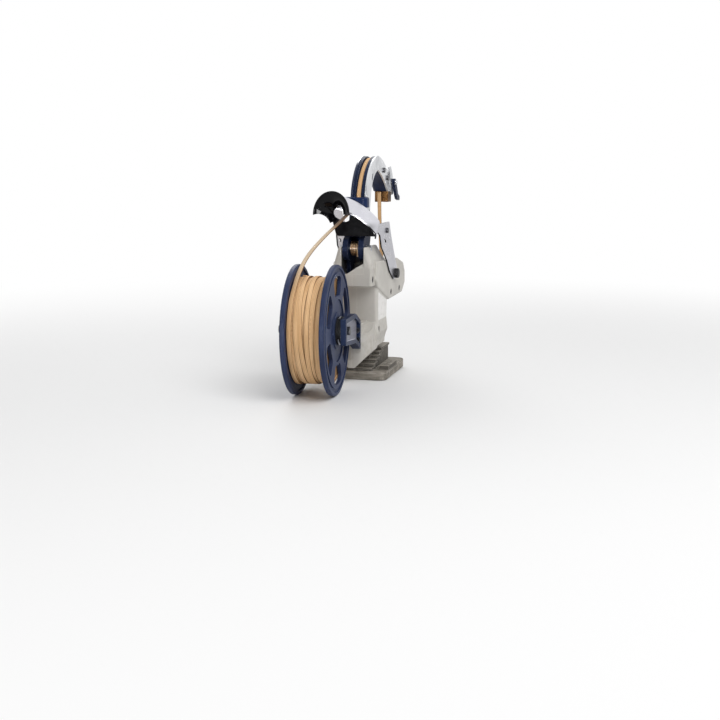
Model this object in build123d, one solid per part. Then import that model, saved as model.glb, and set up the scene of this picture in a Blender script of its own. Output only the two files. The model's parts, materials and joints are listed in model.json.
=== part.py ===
from build123d import *
import math
import os

os.makedirs("parts", exist_ok=True)

# Frame: X = 0 is the arm's plane, +Y points forward, Z = 0 is the ground. All sizes in mm.

# Fits
RUN = 0.05
FREE = 0.3
SEAT = 0.1

# Spool, axle and bracket
FLANGE_R = 60.0
FLANGE_T = 5.0
SPOOL_GAP = 30.0
SPOOL_X = -16.0
SPOOL_CLEAR = 2.0
CANT = 4.5
AXLE_R = 4.0
CORE_R = 17.0
PACK_DEPTH = 13.1
RIM = 3.4
WEB_IN = 1.6
WINDOW_IN = 32.0
WINDOW_EDGE = 10.0
WINDOW_SHIFT = 12.0
WINDOW_SPAN = 40.0
WINDOW_ROUND = 5.0
DISH = 1.2
WINDOWS = 6
RIBBON_W = 4.2
RIBBON_T = 0.9
RIBBON_PITCH = 4.65
RIBBON_TURNS = 6.0
COLLAR_R = 13.0
COLLAR_T = 4.6
CAP_R = 6.0
CAP_LEN = 13.0
BRACKET_T = 5.2
BRACKET_H = 24.0
BRACKET_FLARE = 3.0
BRACKET_LOW = 30.0
BRACKET_FOOT_H = 28.0
BRACKET_RIM = 4.0
BRACKET_WALL = 2.5
FOOT_T = 2.6

# Housing
BARREL_HALF = 22.0
BARREL_TOP = 114.0
BARREL_FLOOR = 74.0
BARREL_REAR = -39.0
BARREL_FRONT = 84.0
TANG_RISE = 3.0
LEDGE_REAR = -50.0
LEDGE_HALF = 19.3
LEDGE_H = 22.0
GRIP_HALF = 20.5
GRIP_BACK = -32.5
GRIP_FRONT = 13.0
GRIP_ROUND = 6.0
GRIP_CREASE = 3.0
FLARE_TOP = 57.0
FLARE_FOOT = 46.0
FLARE = 1.2
BASE_HALF = 18.5
BASE_FRONT = 12.0
BASE_Z = 33.0
BEAD = 1.0
BEAD_H = 4.5
HEEL_Z = 14.0
HEEL_END = -20.0
HEEL_DROP = 10.0
HEEL_ROUND = 12.0
KEEL_HALF = 3.0
KEEL_EDGE = 3.0
HUMP_TOP = 131.0
HUMP_FRONT = 12.0
HUMP_HALF = 14.5
EAR_FOOT_HALF = 20.0
MOUTH_HALF = 11.0
MOUTH_BACK = 58.0
MOTOR_WALL = 5.0
BUSH_H = 3.0
PAD_Y = -53.0

# Arm
HINGE_Y = -36.0
HINGE_Z = 129.0
PIN_R = 3.0
SPRING_R = 6.5
SPRING_WIRE = 0.65
SPRING_GAP = 0.45
SPRING_TURNS = 4.25
HUB_R = 12.0
CHEEK_IN = 5.2
CHEEK_OUT = 10.5
WELL_GAP = 0.8
RAMP_END = -5.8
RAMP_RISE = 11.0
PLATE_IN = 6.2
PLATE_T = 1.6
GROOVE = 3.4
GROOVE_GAP = 0.8
CORE_INSET = 0.5
ARM_RISE = 21.0
TIP_RISE = 52.0
PEAK_RISE = 88.5
PEAK_Y = 21.0
TIP_LEN = 19.0
TIP_HALF = 7.2
TIP_PLATE_T = 1.4
TIP_GUIDE_H = 11.0
FINGER_IN = 6.0
FINGER_UP = 9.0
FINGER_T = 3.0
FINGER_PIN_R = 1.5

# Gears, all of one module
MODULE = 1.0
ADDENDUM = 0.8
DEDENDUM = 1.1
ROOT_SHARE = 0.29
TIP_SHARE = 0.11
SECTOR_TEETH = 50
PINION_TEETH = 12
GEAR_TEETH = 24
IDLER_TEETH = 16
HEAD_TEETH = 20
GEAR_W = 4.0
PINION_AT = -60.0
MOTOR_AT = -20.0
ARBOR_R = 2.0
ARM_MOTOR_R = 10.5
ARM_MOTOR_LEN = 24.0
TWIST_MOTOR_R = 13.0
TWIST_MOTOR_LEN = 15.0
SPINDLE_R = 3.0
SPINDLE_Y = 70.0
HEAD_R = 7.0
HEAD_H = 6.5
TIP_AHEAD = 6.0

# Guide
SHEET = 1.4
GUIDE_REAR = -50.0
GUIDE_RUN = 14.0
GUIDE_RISE = 11.0
PANEL_GAP = 0.5
PANEL_IN = 4.0
KNOB_Y = 30.3
KNOB_Z = 99.2
KNOB_R = 5.0
KNOB_LEN = 4.0
THREAD_R = 2.5
BELL_R = 20.0
THROAT_R = 7.0
BELL_LEN = 18.0
BELL_FROM = 177.0
BELL_SWEEP = 238.0
BELL_LIP = 1.1

# Grip pieces
TRIGGER_HALF = 5.0
TRIGGER_H = 19.0
TRIGGER_PULL = 6.0
SWITCH_LEN = 16.0
SWITCH_HALF = 3.2
SWITCH_H = 12.0
TRIGGER_FOOT = 53.5
TRIGGER_OUT = 11.0
BUTTON_R = 4.5
BUTTON_Y = 58.0
BUTTON_Z = 82.0
BUTTON_PRESS = 1.2
BOARD_Z = 44.5
BOARD_BACK = -22.0
BOARD_FRONT = 6.0

# Battery foot
PACK_HALF = 31.0
PACK_BACK = -40.0
PACK_FRONT = 45.0
TRAY_H = 7.0
LID_T = 2.0
RIDGE_HALF = 17.0
RIDGE_T = 2.0
RIDGES = 6
STAIR_RISE = 2.9
STAIR_FRONT = 8.0
STAIR_END = 34.0
NECK_HALF = 10.0
TEE_HALF = 13.5
TEE_Z = 37.0
TEE_H = 5.0
RAIL_BACK = -22.0
RAIL_FRONT = 11.0
TERMINAL_LEN = 10.0
TERMINAL_HALF = 10.0
TAB_LEN = 34.0
TAB_BACK = -30.0


def box(x0, x1, y0, y1, z0, z1):
    size = Box(x1 - x0, y1 - y0, z1 - z0)
    return Pos((x0 + x1) / 2, (y0 + y1) / 2, (z0 + z1) / 2) * size


def rod_x(y, z, radius, x0, x1):
    return Pos((x0 + x1) / 2, y, z) * Rot(0, 90, 0) * Cylinder(radius, x1 - x0)


def rod_y(x, z, radius, y0, y1):
    return Pos(x, (y0 + y1) / 2, z) * Rot(90, 0, 0) * Cylinder(radius, y1 - y0)


def rod_z(x, y, radius, z0, z1):
    return Pos(x, y, (z0 + z1) / 2) * Cylinder(radius, z1 - z0)


def outline(points, radius=0):
    face = Polygon(*points, align=None)
    if radius:
        face = fillet(face.vertices(), radius)
    return face


def slab_x(face, x0, x1):
    return extrude(Plane.YZ.offset(x0) * face, x1 - x0, dir=(1, 0, 0))


def save(shape, name):
    export_step(shape, f"parts/{name}.step")


# A spur gear lies in its own XY plane with one tooth centred at the angle tooth_at.
def tooth_points(teeth, tooth_at, count):
    pitch_r = MODULE * teeth / 2
    step = 360 / teeth
    points = []
    for i in range(count):
        middle = tooth_at + i * step
        for radius, share in (
            (pitch_r - DEDENDUM, -ROOT_SHARE),
            (pitch_r + ADDENDUM, -TIP_SHARE),
            (pitch_r + ADDENDUM, TIP_SHARE),
            (pitch_r - DEDENDUM, ROOT_SHARE),
        ):
            angle = math.radians(middle + share * step)
            points.append((radius * math.cos(angle), radius * math.sin(angle)))
    return points


def spur(teeth, tooth_at, bore_r):
    face = Polygon(*tooth_points(teeth, tooth_at, teeth), align=None)
    return face - Circle(bore_r)


def pitch_gap(teeth_a, teeth_b):
    return MODULE * (teeth_a + teeth_b) / 2


# Curves: a coil is made of biarcs, one for each quarter turn, with straight ends.
def biarc(p0, t0, p1, t1):
    v = p1 - p0
    both = t0 + t1
    k = 2 * (1 - t0.dot(t1))
    reach = (math.sqrt(v.dot(both) ** 2 + k * v.dot(v)) - v.dot(both)) / k
    q0 = p0 + t0 * reach
    q1 = p1 - t1 * reach
    middle = (q0 + q1) * 0.5
    turn = (q1 - q0).normalized()
    return [TangentArc(p0, middle, tangent=t0), TangentArc(middle, p1, tangent=turn)]


def coil_point(radius, pitch, angle):
    return Vector(pitch * angle / (2 * math.pi), radius * math.cos(angle), radius * math.sin(angle))


def coil(radius, pitch, turns, start, lead):
    spots = []
    heads = []
    quarters = round(4 * turns)
    for i in range(quarters + 1):
        angle = math.radians(start) + i * math.pi / 2
        base = pitch * math.radians(start) / (2 * math.pi) + pitch * turns / 2
        spots.append(coil_point(radius, pitch, angle) - Vector(base, 0, 0))
        run = Vector(pitch / (2 * math.pi), -radius * math.sin(angle), radius * math.cos(angle))
        heads.append(run.normalized())
    edges = [Line(spots[0] - heads[0] * lead, spots[0])]
    for i in range(quarters):
        edges += biarc(spots[i], heads[i], spots[i + 1], heads[i + 1])
    edges.append(Line(spots[-1], spots[-1] + heads[-1] * lead))
    return Wire(edges)


def print_gap(name, radius, pitch, width):
    spots = [coil_point(radius, pitch, math.radians(5 * i)) for i in range(72 * 3)]
    far = [(b - a).length for i, a in enumerate(spots) for b in spots[i + 36:]]
    print(name, "least gap to itself", round(min(far) - width, 2))


# A ribbon follows straight runs joined by tangent arcs, each as large as its runs allow.
def bend_radii(points):
    radii = []
    for before, here, after in zip(points, points[1:], points[2:]):
        into = Vector(*here) - Vector(*before)
        out = Vector(*after) - Vector(*here)
        turn = math.radians(into.get_angle(out))
        radii.append(0.45 * min(into.length, out.length) / math.tan(turn / 2))
    return radii


def ribbon(points, name):
    radii = bend_radii(points)
    path = FilletPolyline(*points, radius=radii)
    print(name, "length", round(path.length, 1), "least radius", round(min(radii), 1))
    flat = Plane(origin=path @ 0, x_dir=(1, 0, 0), z_dir=path % 0) * Rectangle(RIBBON_W, RIBBON_T)
    return sweep(flat, path=path)


# Places that several pieces share
spool_y = PAD_Y - FLANGE_R - SPOOL_CLEAR
spool_frame = Pos(SPOOL_X, spool_y, FLANGE_R) * Rot(0, 0, CANT)
half_gap = SPOOL_GAP / 2
half_lay = half_gap + WEB_IN
pack_r = FLANGE_R - PACK_DEPTH
window_out = FLANGE_R - WINDOW_EDGE
spool_half = half_gap + FLANGE_T
collar_x = spool_half + FREE
bracket_x = collar_x + COLLAR_T
well_half = CHEEK_OUT + WELL_GAP
sector_tip = MODULE * SECTOR_TEETH / 2 + ADDENDUM
well_r = sector_tip + 2 * WELL_GAP
drive_gap = pitch_gap(SECTOR_TEETH, PINION_TEETH)
drive_y = HINGE_Y + drive_gap * math.cos(math.radians(PINION_AT))
drive_z = HINGE_Z + drive_gap * math.sin(math.radians(PINION_AT))
motor_gap = pitch_gap(GEAR_TEETH, PINION_TEETH)
motor_y = drive_y + motor_gap * math.cos(math.radians(MOTOR_AT))
motor_z = drive_z + motor_gap * math.sin(math.radians(MOTOR_AT))
gear_x1 = -well_half - SEAT
gear_x0 = gear_x1 - GEAR_W
pinion_x0 = -CHEEK_OUT
pinion_x1 = pinion_x0 + GEAR_W
idler_y = SPINDLE_Y - pitch_gap(HEAD_TEETH, IDLER_TEETH)
twist_y = idler_y - pitch_gap(IDLER_TEETH, PINION_TEETH)
twist_motor_z = BARREL_TOP - MOTOR_WALL - TWIST_MOTOR_LEN
train_top = twist_motor_z - 1.0
train_z = train_top - GEAR_W - 0.6
train_floor = train_z - 0.5
mouth_floor = train_top + BUSH_H
arm_foot = HINGE_Z + ARM_RISE
tip_z = HINGE_Z + TIP_RISE
peak_z = HINGE_Z + PEAK_RISE
tip_back = SPINDLE_Y - TIP_AHEAD
tip_front = tip_back + TIP_LEN
finger_y = tip_front - FINGER_IN
finger_z = tip_z + FINGER_UP
panel_foot = HINGE_Z + HUB_R + PANEL_GAP
guide_front = GUIDE_REAR + GUIDE_RUN
rivet_z = panel_foot + 3.5
plate_out = PLATE_IN + PLATE_T
leg_x = BARREL_HALF + FREE
lid_z = TRAY_H + LID_T
trigger_back = GRIP_FRONT - 15
spring_back = trigger_back - 10

# Screw places (y, z, side face) for the shells, and (y, z) on the arm
SHELL_SCREWS = [
    (LEDGE_REAR + 5, 100.0, LEDGE_HALF),
    (20.0, BARREL_FLOOR + 7, BARREL_HALF),
    (57.0, BARREL_FLOOR + 7, BARREL_HALF),
    (GRIP_BACK + 5.5, 49.5, GRIP_HALF),
    (BASE_FRONT - 3, 49.5, GRIP_HALF - 0.8),
]
SCREW_R = 1.5
SCREW_HEAD_R = 3.0
SCREW_HEAD_H = 2.6
ARM_SCREWS = [(PEAK_Y + 23, peak_z - 14.5), (tip_back - 5, tip_z + 14), (HINGE_Y + 16, arm_foot + 13)]
BRACKET_SCREWS = [42.5, 52.0]
BLADE_X = [-6.0, 0.0, 6.0]
BRACKET_SCREW_X = 6.8
FAR = 400.0

# Ribbon routes: free from the spool to the guide, and from the guide into the arm's groove
FEED = [
    (-26.9, -153.5, 92.8), (-27.0, -144.0, 103.4), (-26.6, -128.0, 117.6), (-24.2, -108.0, 130.0),
    (-17.6, -82.0, 143.6), (-9.8, -62.0, 154.4), (-4.4, -44.0, 163.6),
]
BRIDGE = [(-4.1, -42.6, 164.2), (-2.0, -36.4, 164.8), (-0.3, -30.8, 167.6), (0.0, -28.9, 174.4)]


# Housing form
def barrel_form():
    tang_top = BARREL_TOP + TANG_RISE
    side = outline(
        [
            (BARREL_REAR, tang_top - LEDGE_H + 3),
            (GRIP_BACK, BARREL_FLOOR + 16.5),
            (GRIP_FRONT - 1, BARREL_FLOOR),
            (BARREL_FRONT - 13, BARREL_FLOOR + 1),
            (BARREL_FRONT, BARREL_FLOOR + 10),
            (BARREL_FRONT, BARREL_TOP - 17),
            (BARREL_FRONT - 8, BARREL_TOP - 7),
            (BARREL_FRONT - 32, BARREL_TOP - 1),
            (BARREL_REAR, tang_top),
        ],
        3.0,
    )
    form = extrude(Plane.YZ * side, BARREL_HALF, both=True)
    rims = form.edges().group_by(Axis.X)
    return fillet(rims[0] + rims[-1], 2.2)


def ledge_form():
    top = BARREL_TOP + TANG_RISE - 1
    low = top - LEDGE_H
    side = [(LEDGE_REAR, low), (LEDGE_REAR, top - 5), (LEDGE_REAR + 3, top)]
    side += [(GRIP_BACK, top), (GRIP_BACK, low)]
    form = slab_x(outline(side), -LEDGE_HALF, LEDGE_HALF)
    back = form.edges().filter_by(Axis.Z).group_by(Axis.Y)[0]
    return fillet(back, 2.5)


def hump_form():
    length = HUMP_FRONT - LEDGE_REAR
    foot = Plane.XY.offset(BARREL_TOP - 3) * Pos(0, LEDGE_REAR + length / 2)
    crown = Plane.XY.offset(HUMP_TOP) * Pos(0, LEDGE_REAR + length / 3)
    foot *= RectangleRounded(2 * EAR_FOOT_HALF, length, 4)
    crown *= RectangleRounded(2 * HUMP_HALF, length * 0.64, 4)
    form = loft([foot, crown], ruled=True)
    return fillet(form.faces().sort_by(Axis.Z)[-1].edges(), 1.5)


def grip_section(z, back, front, half, round_r):
    face = Polygon((-half, back), (half, back), (half, front), (-half, front), align=None)
    ends = face.vertices().group_by(Axis.Y)
    face = fillet(ends[-1], round_r)
    face = fillet(face.vertices().group_by(Axis.Y)[0], GRIP_CREASE)
    return Plane.XY.offset(z) * face


def grip_form():
    upper = grip_section(BARREL_FLOOR + 18, GRIP_BACK, GRIP_FRONT, GRIP_HALF, GRIP_ROUND)
    lower = grip_section(FLARE_TOP, GRIP_BACK, GRIP_FRONT - 2, GRIP_HALF, GRIP_ROUND)
    skirt = grip_section(FLARE_FOOT, GRIP_BACK - FLARE, GRIP_FRONT - 1, GRIP_HALF + FLARE, GRIP_ROUND + 1)
    bottom = grip_section(BASE_Z, GRIP_BACK - FLARE, BASE_FRONT, BASE_HALF, BASE_FRONT)
    bead = grip_section(BASE_Z, GRIP_BACK - FLARE - BEAD, BASE_FRONT + BEAD, BASE_HALF + BEAD, BASE_FRONT)
    form = loft([upper, lower], ruled=True) + loft([lower, skirt], ruled=True)
    return form + loft([skirt, bottom], ruled=True) + extrude(bead, BEAD_H)


# The heel runs the base back to the bracket's plane, with a pad there for the bracket's foot.
def heel_form():
    side = [(PAD_Y, HEEL_Z), (HEEL_END, BASE_Z), (HEEL_END, FLARE_TOP)]
    side += [(GRIP_BACK, FLARE_TOP), (PAD_Y, FLARE_TOP - HEEL_DROP)]
    form = slab_x(outline(side), -BASE_HALF, BASE_HALF)
    form = fillet(form.edges().filter_by(Axis.Z).group_by(Axis.Y)[0], HEEL_ROUND)
    edge = BASE_Z - KEEL_EDGE
    keel = [(-BASE_HALF, edge), (-KEEL_HALF, HEEL_Z), (KEEL_HALF, HEEL_Z), (BASE_HALF, edge)]
    keel += [(BASE_HALF, FLARE_TOP), (-BASE_HALF, FLARE_TOP)]
    form &= extrude(Plane.XZ.offset(-HEEL_END) * outline(keel), HEEL_END - PAD_Y)
    pad_top = BRACKET_LOW + BRACKET_FOOT_H
    return form + box(BRACKET_SCREW_X - 5.8, BRACKET_SCREW_X + 3.2, PAD_Y, GRIP_BACK, BRACKET_LOW, pad_top)


# Hollows in the housing
def arm_hollows():
    well = rod_x(HINGE_Y, HINGE_Z, well_r, -well_half, well_half)
    high = HINGE_Z - HUB_R - WELL_GAP
    low = HINGE_Z - well_r - 1
    ramp = outline([(well_half, high), (well_half, low), (RAMP_END, low), (RAMP_END, high - RAMP_RISE)])
    well -= extrude(Plane.XZ.offset(-HINGE_Y - 6) * ramp, 2 * well_r)
    gear_r = MODULE * GEAR_TEETH / 2 + ADDENDUM + WELL_GAP
    pinion_r = MODULE * PINION_TEETH / 2 + ADDENDUM + WELL_GAP
    gears = rod_x(drive_y, drive_z, gear_r, gear_x0 - 2 * SEAT, 0)
    small = rod_x(motor_y, motor_z, pinion_r, gear_x0 - 2 * SEAT, -well_half)
    motor = rod_x(motor_y, motor_z, ARM_MOTOR_R + RUN, -well_half, ARM_MOTOR_LEN - 8.0 + SEAT)
    arbor = rod_x(drive_y, drive_z, ARBOR_R, gear_x0 - 4, 6)
    pin = rod_x(HINGE_Y, HINGE_Z, PIN_R, -HUMP_HALF - 8, HUMP_HALF + 8)
    return [well, gears, small, motor, arbor, pin]


def twist_hollows():
    cuts = [box(-MOUTH_HALF, MOUTH_HALF, MOUTH_BACK, BARREL_FRONT + 9, mouth_floor, BARREL_TOP + 9)]
    for y, teeth in ((twist_y, PINION_TEETH), (idler_y, IDLER_TEETH), (SPINDLE_Y, HEAD_TEETH)):
        radius = MODULE * teeth / 2 + ADDENDUM + WELL_GAP
        cuts.append(rod_z(0, y, radius, train_floor, train_top))
    can_top = twist_motor_z + TWIST_MOTOR_LEN + SEAT
    cuts.append(rod_z(0, twist_y, TWIST_MOTOR_R + RUN, train_top, can_top))
    cuts.append(rod_z(0, idler_y, ARBOR_R, train_floor - 4, train_top + 0.5))
    cuts.append(rod_z(0, SPINDLE_Y, SPINDLE_R + 2, train_floor - 8, mouth_floor))
    return cuts


def grip_hollows():
    slot = TRIGGER_HALF + FREE
    low = TRIGGER_FOOT - FREE
    high = TRIGGER_FOOT + TRIGGER_H + FREE
    cuts = [box(-slot, slot, spring_back, GRIP_FRONT + 9, low, high)]
    cuts.append(box(*switch_span(SEAT)))
    cuts.append(box(-15 - SEAT, 15 + SEAT, BOARD_BACK - SEAT, BOARD_FRONT + SEAT, BOARD_Z, BOARD_Z + 7))
    ahead = BASE_FRONT + 30
    neck = NECK_HALF + FREE
    tee = TEE_HALF + FREE
    cuts.append(box(-neck, neck, RAIL_BACK - 1, ahead, BASE_Z - 9, TEE_Z + 1))
    cuts.append(box(-tee, tee, RAIL_BACK - 1, ahead, TEE_Z, TEE_Z + TEE_H))
    cuts.append(box(*terminal_span()))
    cuts.append(rod_x(BUTTON_Y, BUTTON_Z, BUTTON_R + RUN, -BARREL_HALF - 9, 5.5 - BARREL_HALF))
    return cuts


def switch_span(gap):
    back = spring_back - SWITCH_LEN - gap
    half = SWITCH_HALF + gap
    low = TRIGGER_FOOT + 5 - gap
    return -half, half, back, spring_back, low, low + SWITCH_H + 2 * gap


def terminal_span():
    back = RAIL_BACK - 1 - TERMINAL_LEN
    return -TERMINAL_HALF, TERMINAL_HALF, back, RAIL_BACK - 1, TEE_Z - 1, TEE_Z + TEE_H + 0.5


def screw_hollows():
    cuts = []
    for y, z, face in SHELL_SCREWS:
        cuts.append(rod_x(y, z, SCREW_R, -11, face))
        cuts.append(rod_x(y, z, SCREW_HEAD_R + FREE, face - SCREW_HEAD_H, face + 9))
    for side in (-1, 1):
        ends = sorted((side * (BARREL_HALF - 7.5), side * (BARREL_HALF + 1)))
        cuts.append(rod_x(KNOB_Y, KNOB_Z, THREAD_R, *ends))
    for z in BRACKET_SCREWS:
        cuts.append(rod_y(BRACKET_SCREW_X, z, SCREW_R, PAD_Y - 1, PAD_Y + 10))
    return cuts


def label_form():
    back = GRIP_BACK + GRIP_CREASE + 0.8
    front = GRIP_FRONT - GRIP_ROUND - 2.5
    low = FLARE_TOP + 1
    face = outline([(back, low), (front, low), (front, BARREL_FLOOR + 1.2), (back, BARREL_FLOOR + 12.5)], 1.8)
    return slab_x(face, GRIP_HALF - 0.8, GRIP_HALF + 0.2)


def make_housing():
    body = barrel_form() + ledge_form() + hump_form() + grip_form() + heel_form()
    for cut in arm_hollows() + twist_hollows() + grip_hollows() + screw_hollows():
        body -= cut
    body -= label_form()
    save(body & box(-FAR, 0, -FAR, FAR, 0, FAR), "housing_left")
    save(body & box(0, FAR, -FAR, FAR, 0, FAR), "housing_right")
    save(label_form(), "label_panel")
    screws = []
    for y, z, face in SHELL_SCREWS:
        head = rod_x(y, z, SCREW_HEAD_R, face - SCREW_HEAD_H, face - 0.4)
        socket = Pos(face - 0.4, y, z) * Rot(0, 90, 0) * extrude(RegularPolygon(1.5, 6), 1.5, both=True)
        screws.append(head - socket + rod_x(y, z, SCREW_R, -10, face - SCREW_HEAD_H))
    save(Compound(screws), "housing_screws")


# Spool: two windowed flanges on a core, the packed ribbon and its outer layer
def window_face(shift):
    ring = Circle(window_out - shift) - Circle(WINDOW_IN - shift)
    reach = 2 * window_out
    half = math.radians(WINDOW_SPAN / 2)
    side = reach * math.sin(half)
    wedge = Polygon((0, 0), (side, reach * math.cos(half)), (-side, reach * math.cos(half)), align=None)
    window = ring & wedge
    return fillet(window.vertices(), WINDOW_ROUND)


def flange(x0, inner_x, outer_x, shift):
    face = Circle(FLANGE_R) - Circle(CORE_R - 5)
    for i in range(WINDOWS):
        face -= Rot(0, 0, 360 * i / WINDOWS) * window_face(shift)
    disc = slab_x(face, x0, x0 + FLANGE_T)
    rounds = disc.edges().filter_by(GeomType.CIRCLE)
    disc = fillet(rounds.group_by(SortBy.RADIUS)[-1], 1.2)
    dish = slab_x(Circle(FLANGE_R - 3) - Circle(window_out + 3), outer_x - DISH, outer_x + DISH)
    hub_dish = slab_x(Circle(WINDOW_IN - 3) - Circle(COLLAR_R + 4), outer_x - DISH, outer_x + DISH)
    recess = slab_x(Circle(FLANGE_R - RIM) - Circle(CORE_R), inner_x - WEB_IN, inner_x + WEB_IN)
    return disc - dish - hub_dish - recess


def make_spool():
    core = rod_x(0, 0, CORE_R, -half_gap, half_gap)
    core += rod_x(0, 0, CORE_R - 5, -spool_half, spool_half)
    core -= rod_x(0, 0, AXLE_R + RUN, -spool_half - 1, spool_half + 1)
    save(spool_frame * core, "spool_core")
    save(spool_frame * flange(-spool_half, -half_gap, -spool_half, WINDOW_SHIFT), "spool_flange_left")
    save(spool_frame * flange(half_gap, half_gap, spool_half, 0), "spool_flange_right")
    pack = rod_x(0, 0, pack_r, -half_lay + FREE, half_lay - FREE)
    pack -= rod_x(0, 0, CORE_R, -half_lay, half_lay)
    save(spool_frame * pack, "tie_pack")
    roll = math.degrees(RIBBON_PITCH * RIBBON_TURNS / pack_r) / 2
    lay_r = pack_r + 0.4 + RIBBON_T / 2 + RIBBON_W / 2 * math.sin(math.radians(roll))
    path = coil(lay_r, RIBBON_PITCH, RIBBON_TURNS, 40, RIBBON_W)
    flat = Plane(origin=path @ 0, x_dir=(1, 0, 0), z_dir=path % 0) * Rot(0, 0, roll)
    turns = sweep(flat * Rectangle(RIBBON_W, RIBBON_T), path=path)
    save(spool_frame * turns, "tie_winding")
    print("tie_winding length", round(path.length))
    print_gap("tie_winding", lay_r, RIBBON_PITCH, RIBBON_W)


def make_axle():
    inner = bracket_x + BRACKET_T
    axle = rod_x(0, 0, AXLE_R, -spool_half - CAP_LEN - 2, inner + 1.5)
    save(spool_frame * axle, "spool_axle")
    cap = rod_x(0, 0, CAP_R, -spool_half - FREE - CAP_LEN, -spool_half - FREE)
    for i in range(10):
        place = Rot(36 * i, 0, 0) * Pos(-spool_half - FREE - CAP_LEN / 2, 0, CAP_R)
        cap -= place * Box(CAP_LEN - 3, 1.2, 1.2)
    cap -= rod_x(0, 0, AXLE_R + RUN, -90, 0)
    save(spool_frame * cap, "axle_cap")
    collar = rod_x(0, 0, COLLAR_R, collar_x, bracket_x)
    collar -= rod_x(0, 0, COLLAR_R + 1, collar_x + 1.4, collar_x + 3.0) - rod_x(0, 0, COLLAR_R - 1.2, 0, 90)
    collar -= rod_x(0, 0, AXLE_R, 0, 90)
    save(spool_frame * collar, "hub_collar")
    ring_r = COLLAR_R - 0.5
    ends = [math.radians(a) for a in (-150, -20, 110)]
    arc = ThreePointArc(*[(0, ring_r * math.cos(a), ring_r * math.sin(a)) for a in ends])
    wire = sweep(Plane(origin=arc @ 0, z_dir=arc % 0) * Circle(0.7), path=arc)
    save(spool_frame * Pos(collar_x + 2.2, 0, 0) * wire, "brake_clip")


def make_bracket():
    reach = PAD_Y - spool_y + 6
    back = -BRACKET_H / 2
    x1 = bracket_x + BRACKET_T
    foot_x = bracket_x - BRACKET_FLARE
    plan = [(bracket_x, back), (x1, back), (x1, reach), (foot_x, reach)]
    plan += [(foot_x, reach - 20), (bracket_x, reach - 34)]
    side = [
        (back, back),
        (reach - 32, back - 5),
        (reach, BRACKET_LOW - FLANGE_R),
        (reach, BRACKET_LOW + BRACKET_FOOT_H - FLANGE_R),
        (reach - 32, -back - 1),
        (back, -back),
    ]
    face = outline(side)
    bar = Pos(0, 0, -FLANGE_R) * extrude(outline(plan), 2 * FLANGE_R)
    bar &= slab_x(face, 0, 2 * x1)
    recess = offset(face, -BRACKET_RIM, kind=Kind.INTERSECTION)
    recess &= Pos(reach - 11.5, 0) * Rectangle(FAR, FAR, align=(Align.MAX, Align.CENTER))
    bar -= slab_x(recess, x1 - BRACKET_WALL + 0.5, 2 * x1)
    ahead = Pos(reach - 19.5, 0) * Rectangle(FAR, FAR, align=(Align.MIN, Align.CENTER))
    bar -= slab_x(recess & ahead, foot_x + BRACKET_WALL, 2 * x1)
    bar -= rod_x(0, 0, AXLE_R, 0, 2 * x1)
    bar = spool_frame * bar & box(-FAR, FAR, -FAR, PAD_Y, 0, FAR)
    seat = PAD_Y - FOOT_T
    screws = []
    for z in BRACKET_SCREWS:
        bar -= rod_y(BRACKET_SCREW_X, z, SCREW_R, PAD_Y - 9, PAD_Y + 1)
        bar -= rod_y(BRACKET_SCREW_X, z, SCREW_HEAD_R - SEAT, seat - 9, seat)
        head = rod_y(BRACKET_SCREW_X, z, SCREW_HEAD_R - 0.6, seat - SCREW_HEAD_H, seat)
        screws.append(head + rod_y(BRACKET_SCREW_X, z, SCREW_R, seat, PAD_Y + 9))
    save(bar, "spool_bracket")
    save(Compound(screws), "bracket_screws")


# Arm: a core between two plates, with a groove for the ribbon round its outer edge
def arch_edges(inset):
    rear = Line((HINGE_Y + 2.5 + inset, arm_foot), (HINGE_Y + 10 + 0.97 * inset, tip_z + 2 - 0.25 * inset))
    shoulder = (HINGE_Y + 27.5 + 0.72 * inset, peak_z - 10.5 - 0.7 * inset)
    top_rear = ThreePointArc(rear @ 1, shoulder, (PEAK_Y, peak_z - inset))
    bow = (tip_back - 8 - 0.52 * inset, peak_z - 11.7 - 0.85 * inset)
    top_front = ThreePointArc(top_rear @ 1, bow, (tip_front - 0.8 * inset, tip_z))
    return [rear, top_rear, top_front]


def arch_face(inset):
    outer = arch_edges(inset)
    end = Line(outer[2] @ 1, (tip_back, tip_z))
    under_front = ThreePointArc(end @ 1, (tip_back - 20, tip_z + 13.5), (PEAK_Y, peak_z - 14))
    under_rear = ThreePointArc(under_front @ 1, (PEAK_Y - 18, peak_z - 22), (PEAK_Y - 28, tip_z + 1))
    leg = Line(under_rear @ 1, (HINGE_Y + 20.5, arm_foot))
    foot = Line(leg @ 1, outer[0] @ 0)
    return make_face(Curve() + outer + [end, under_front, under_rear, leg, foot])


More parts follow.
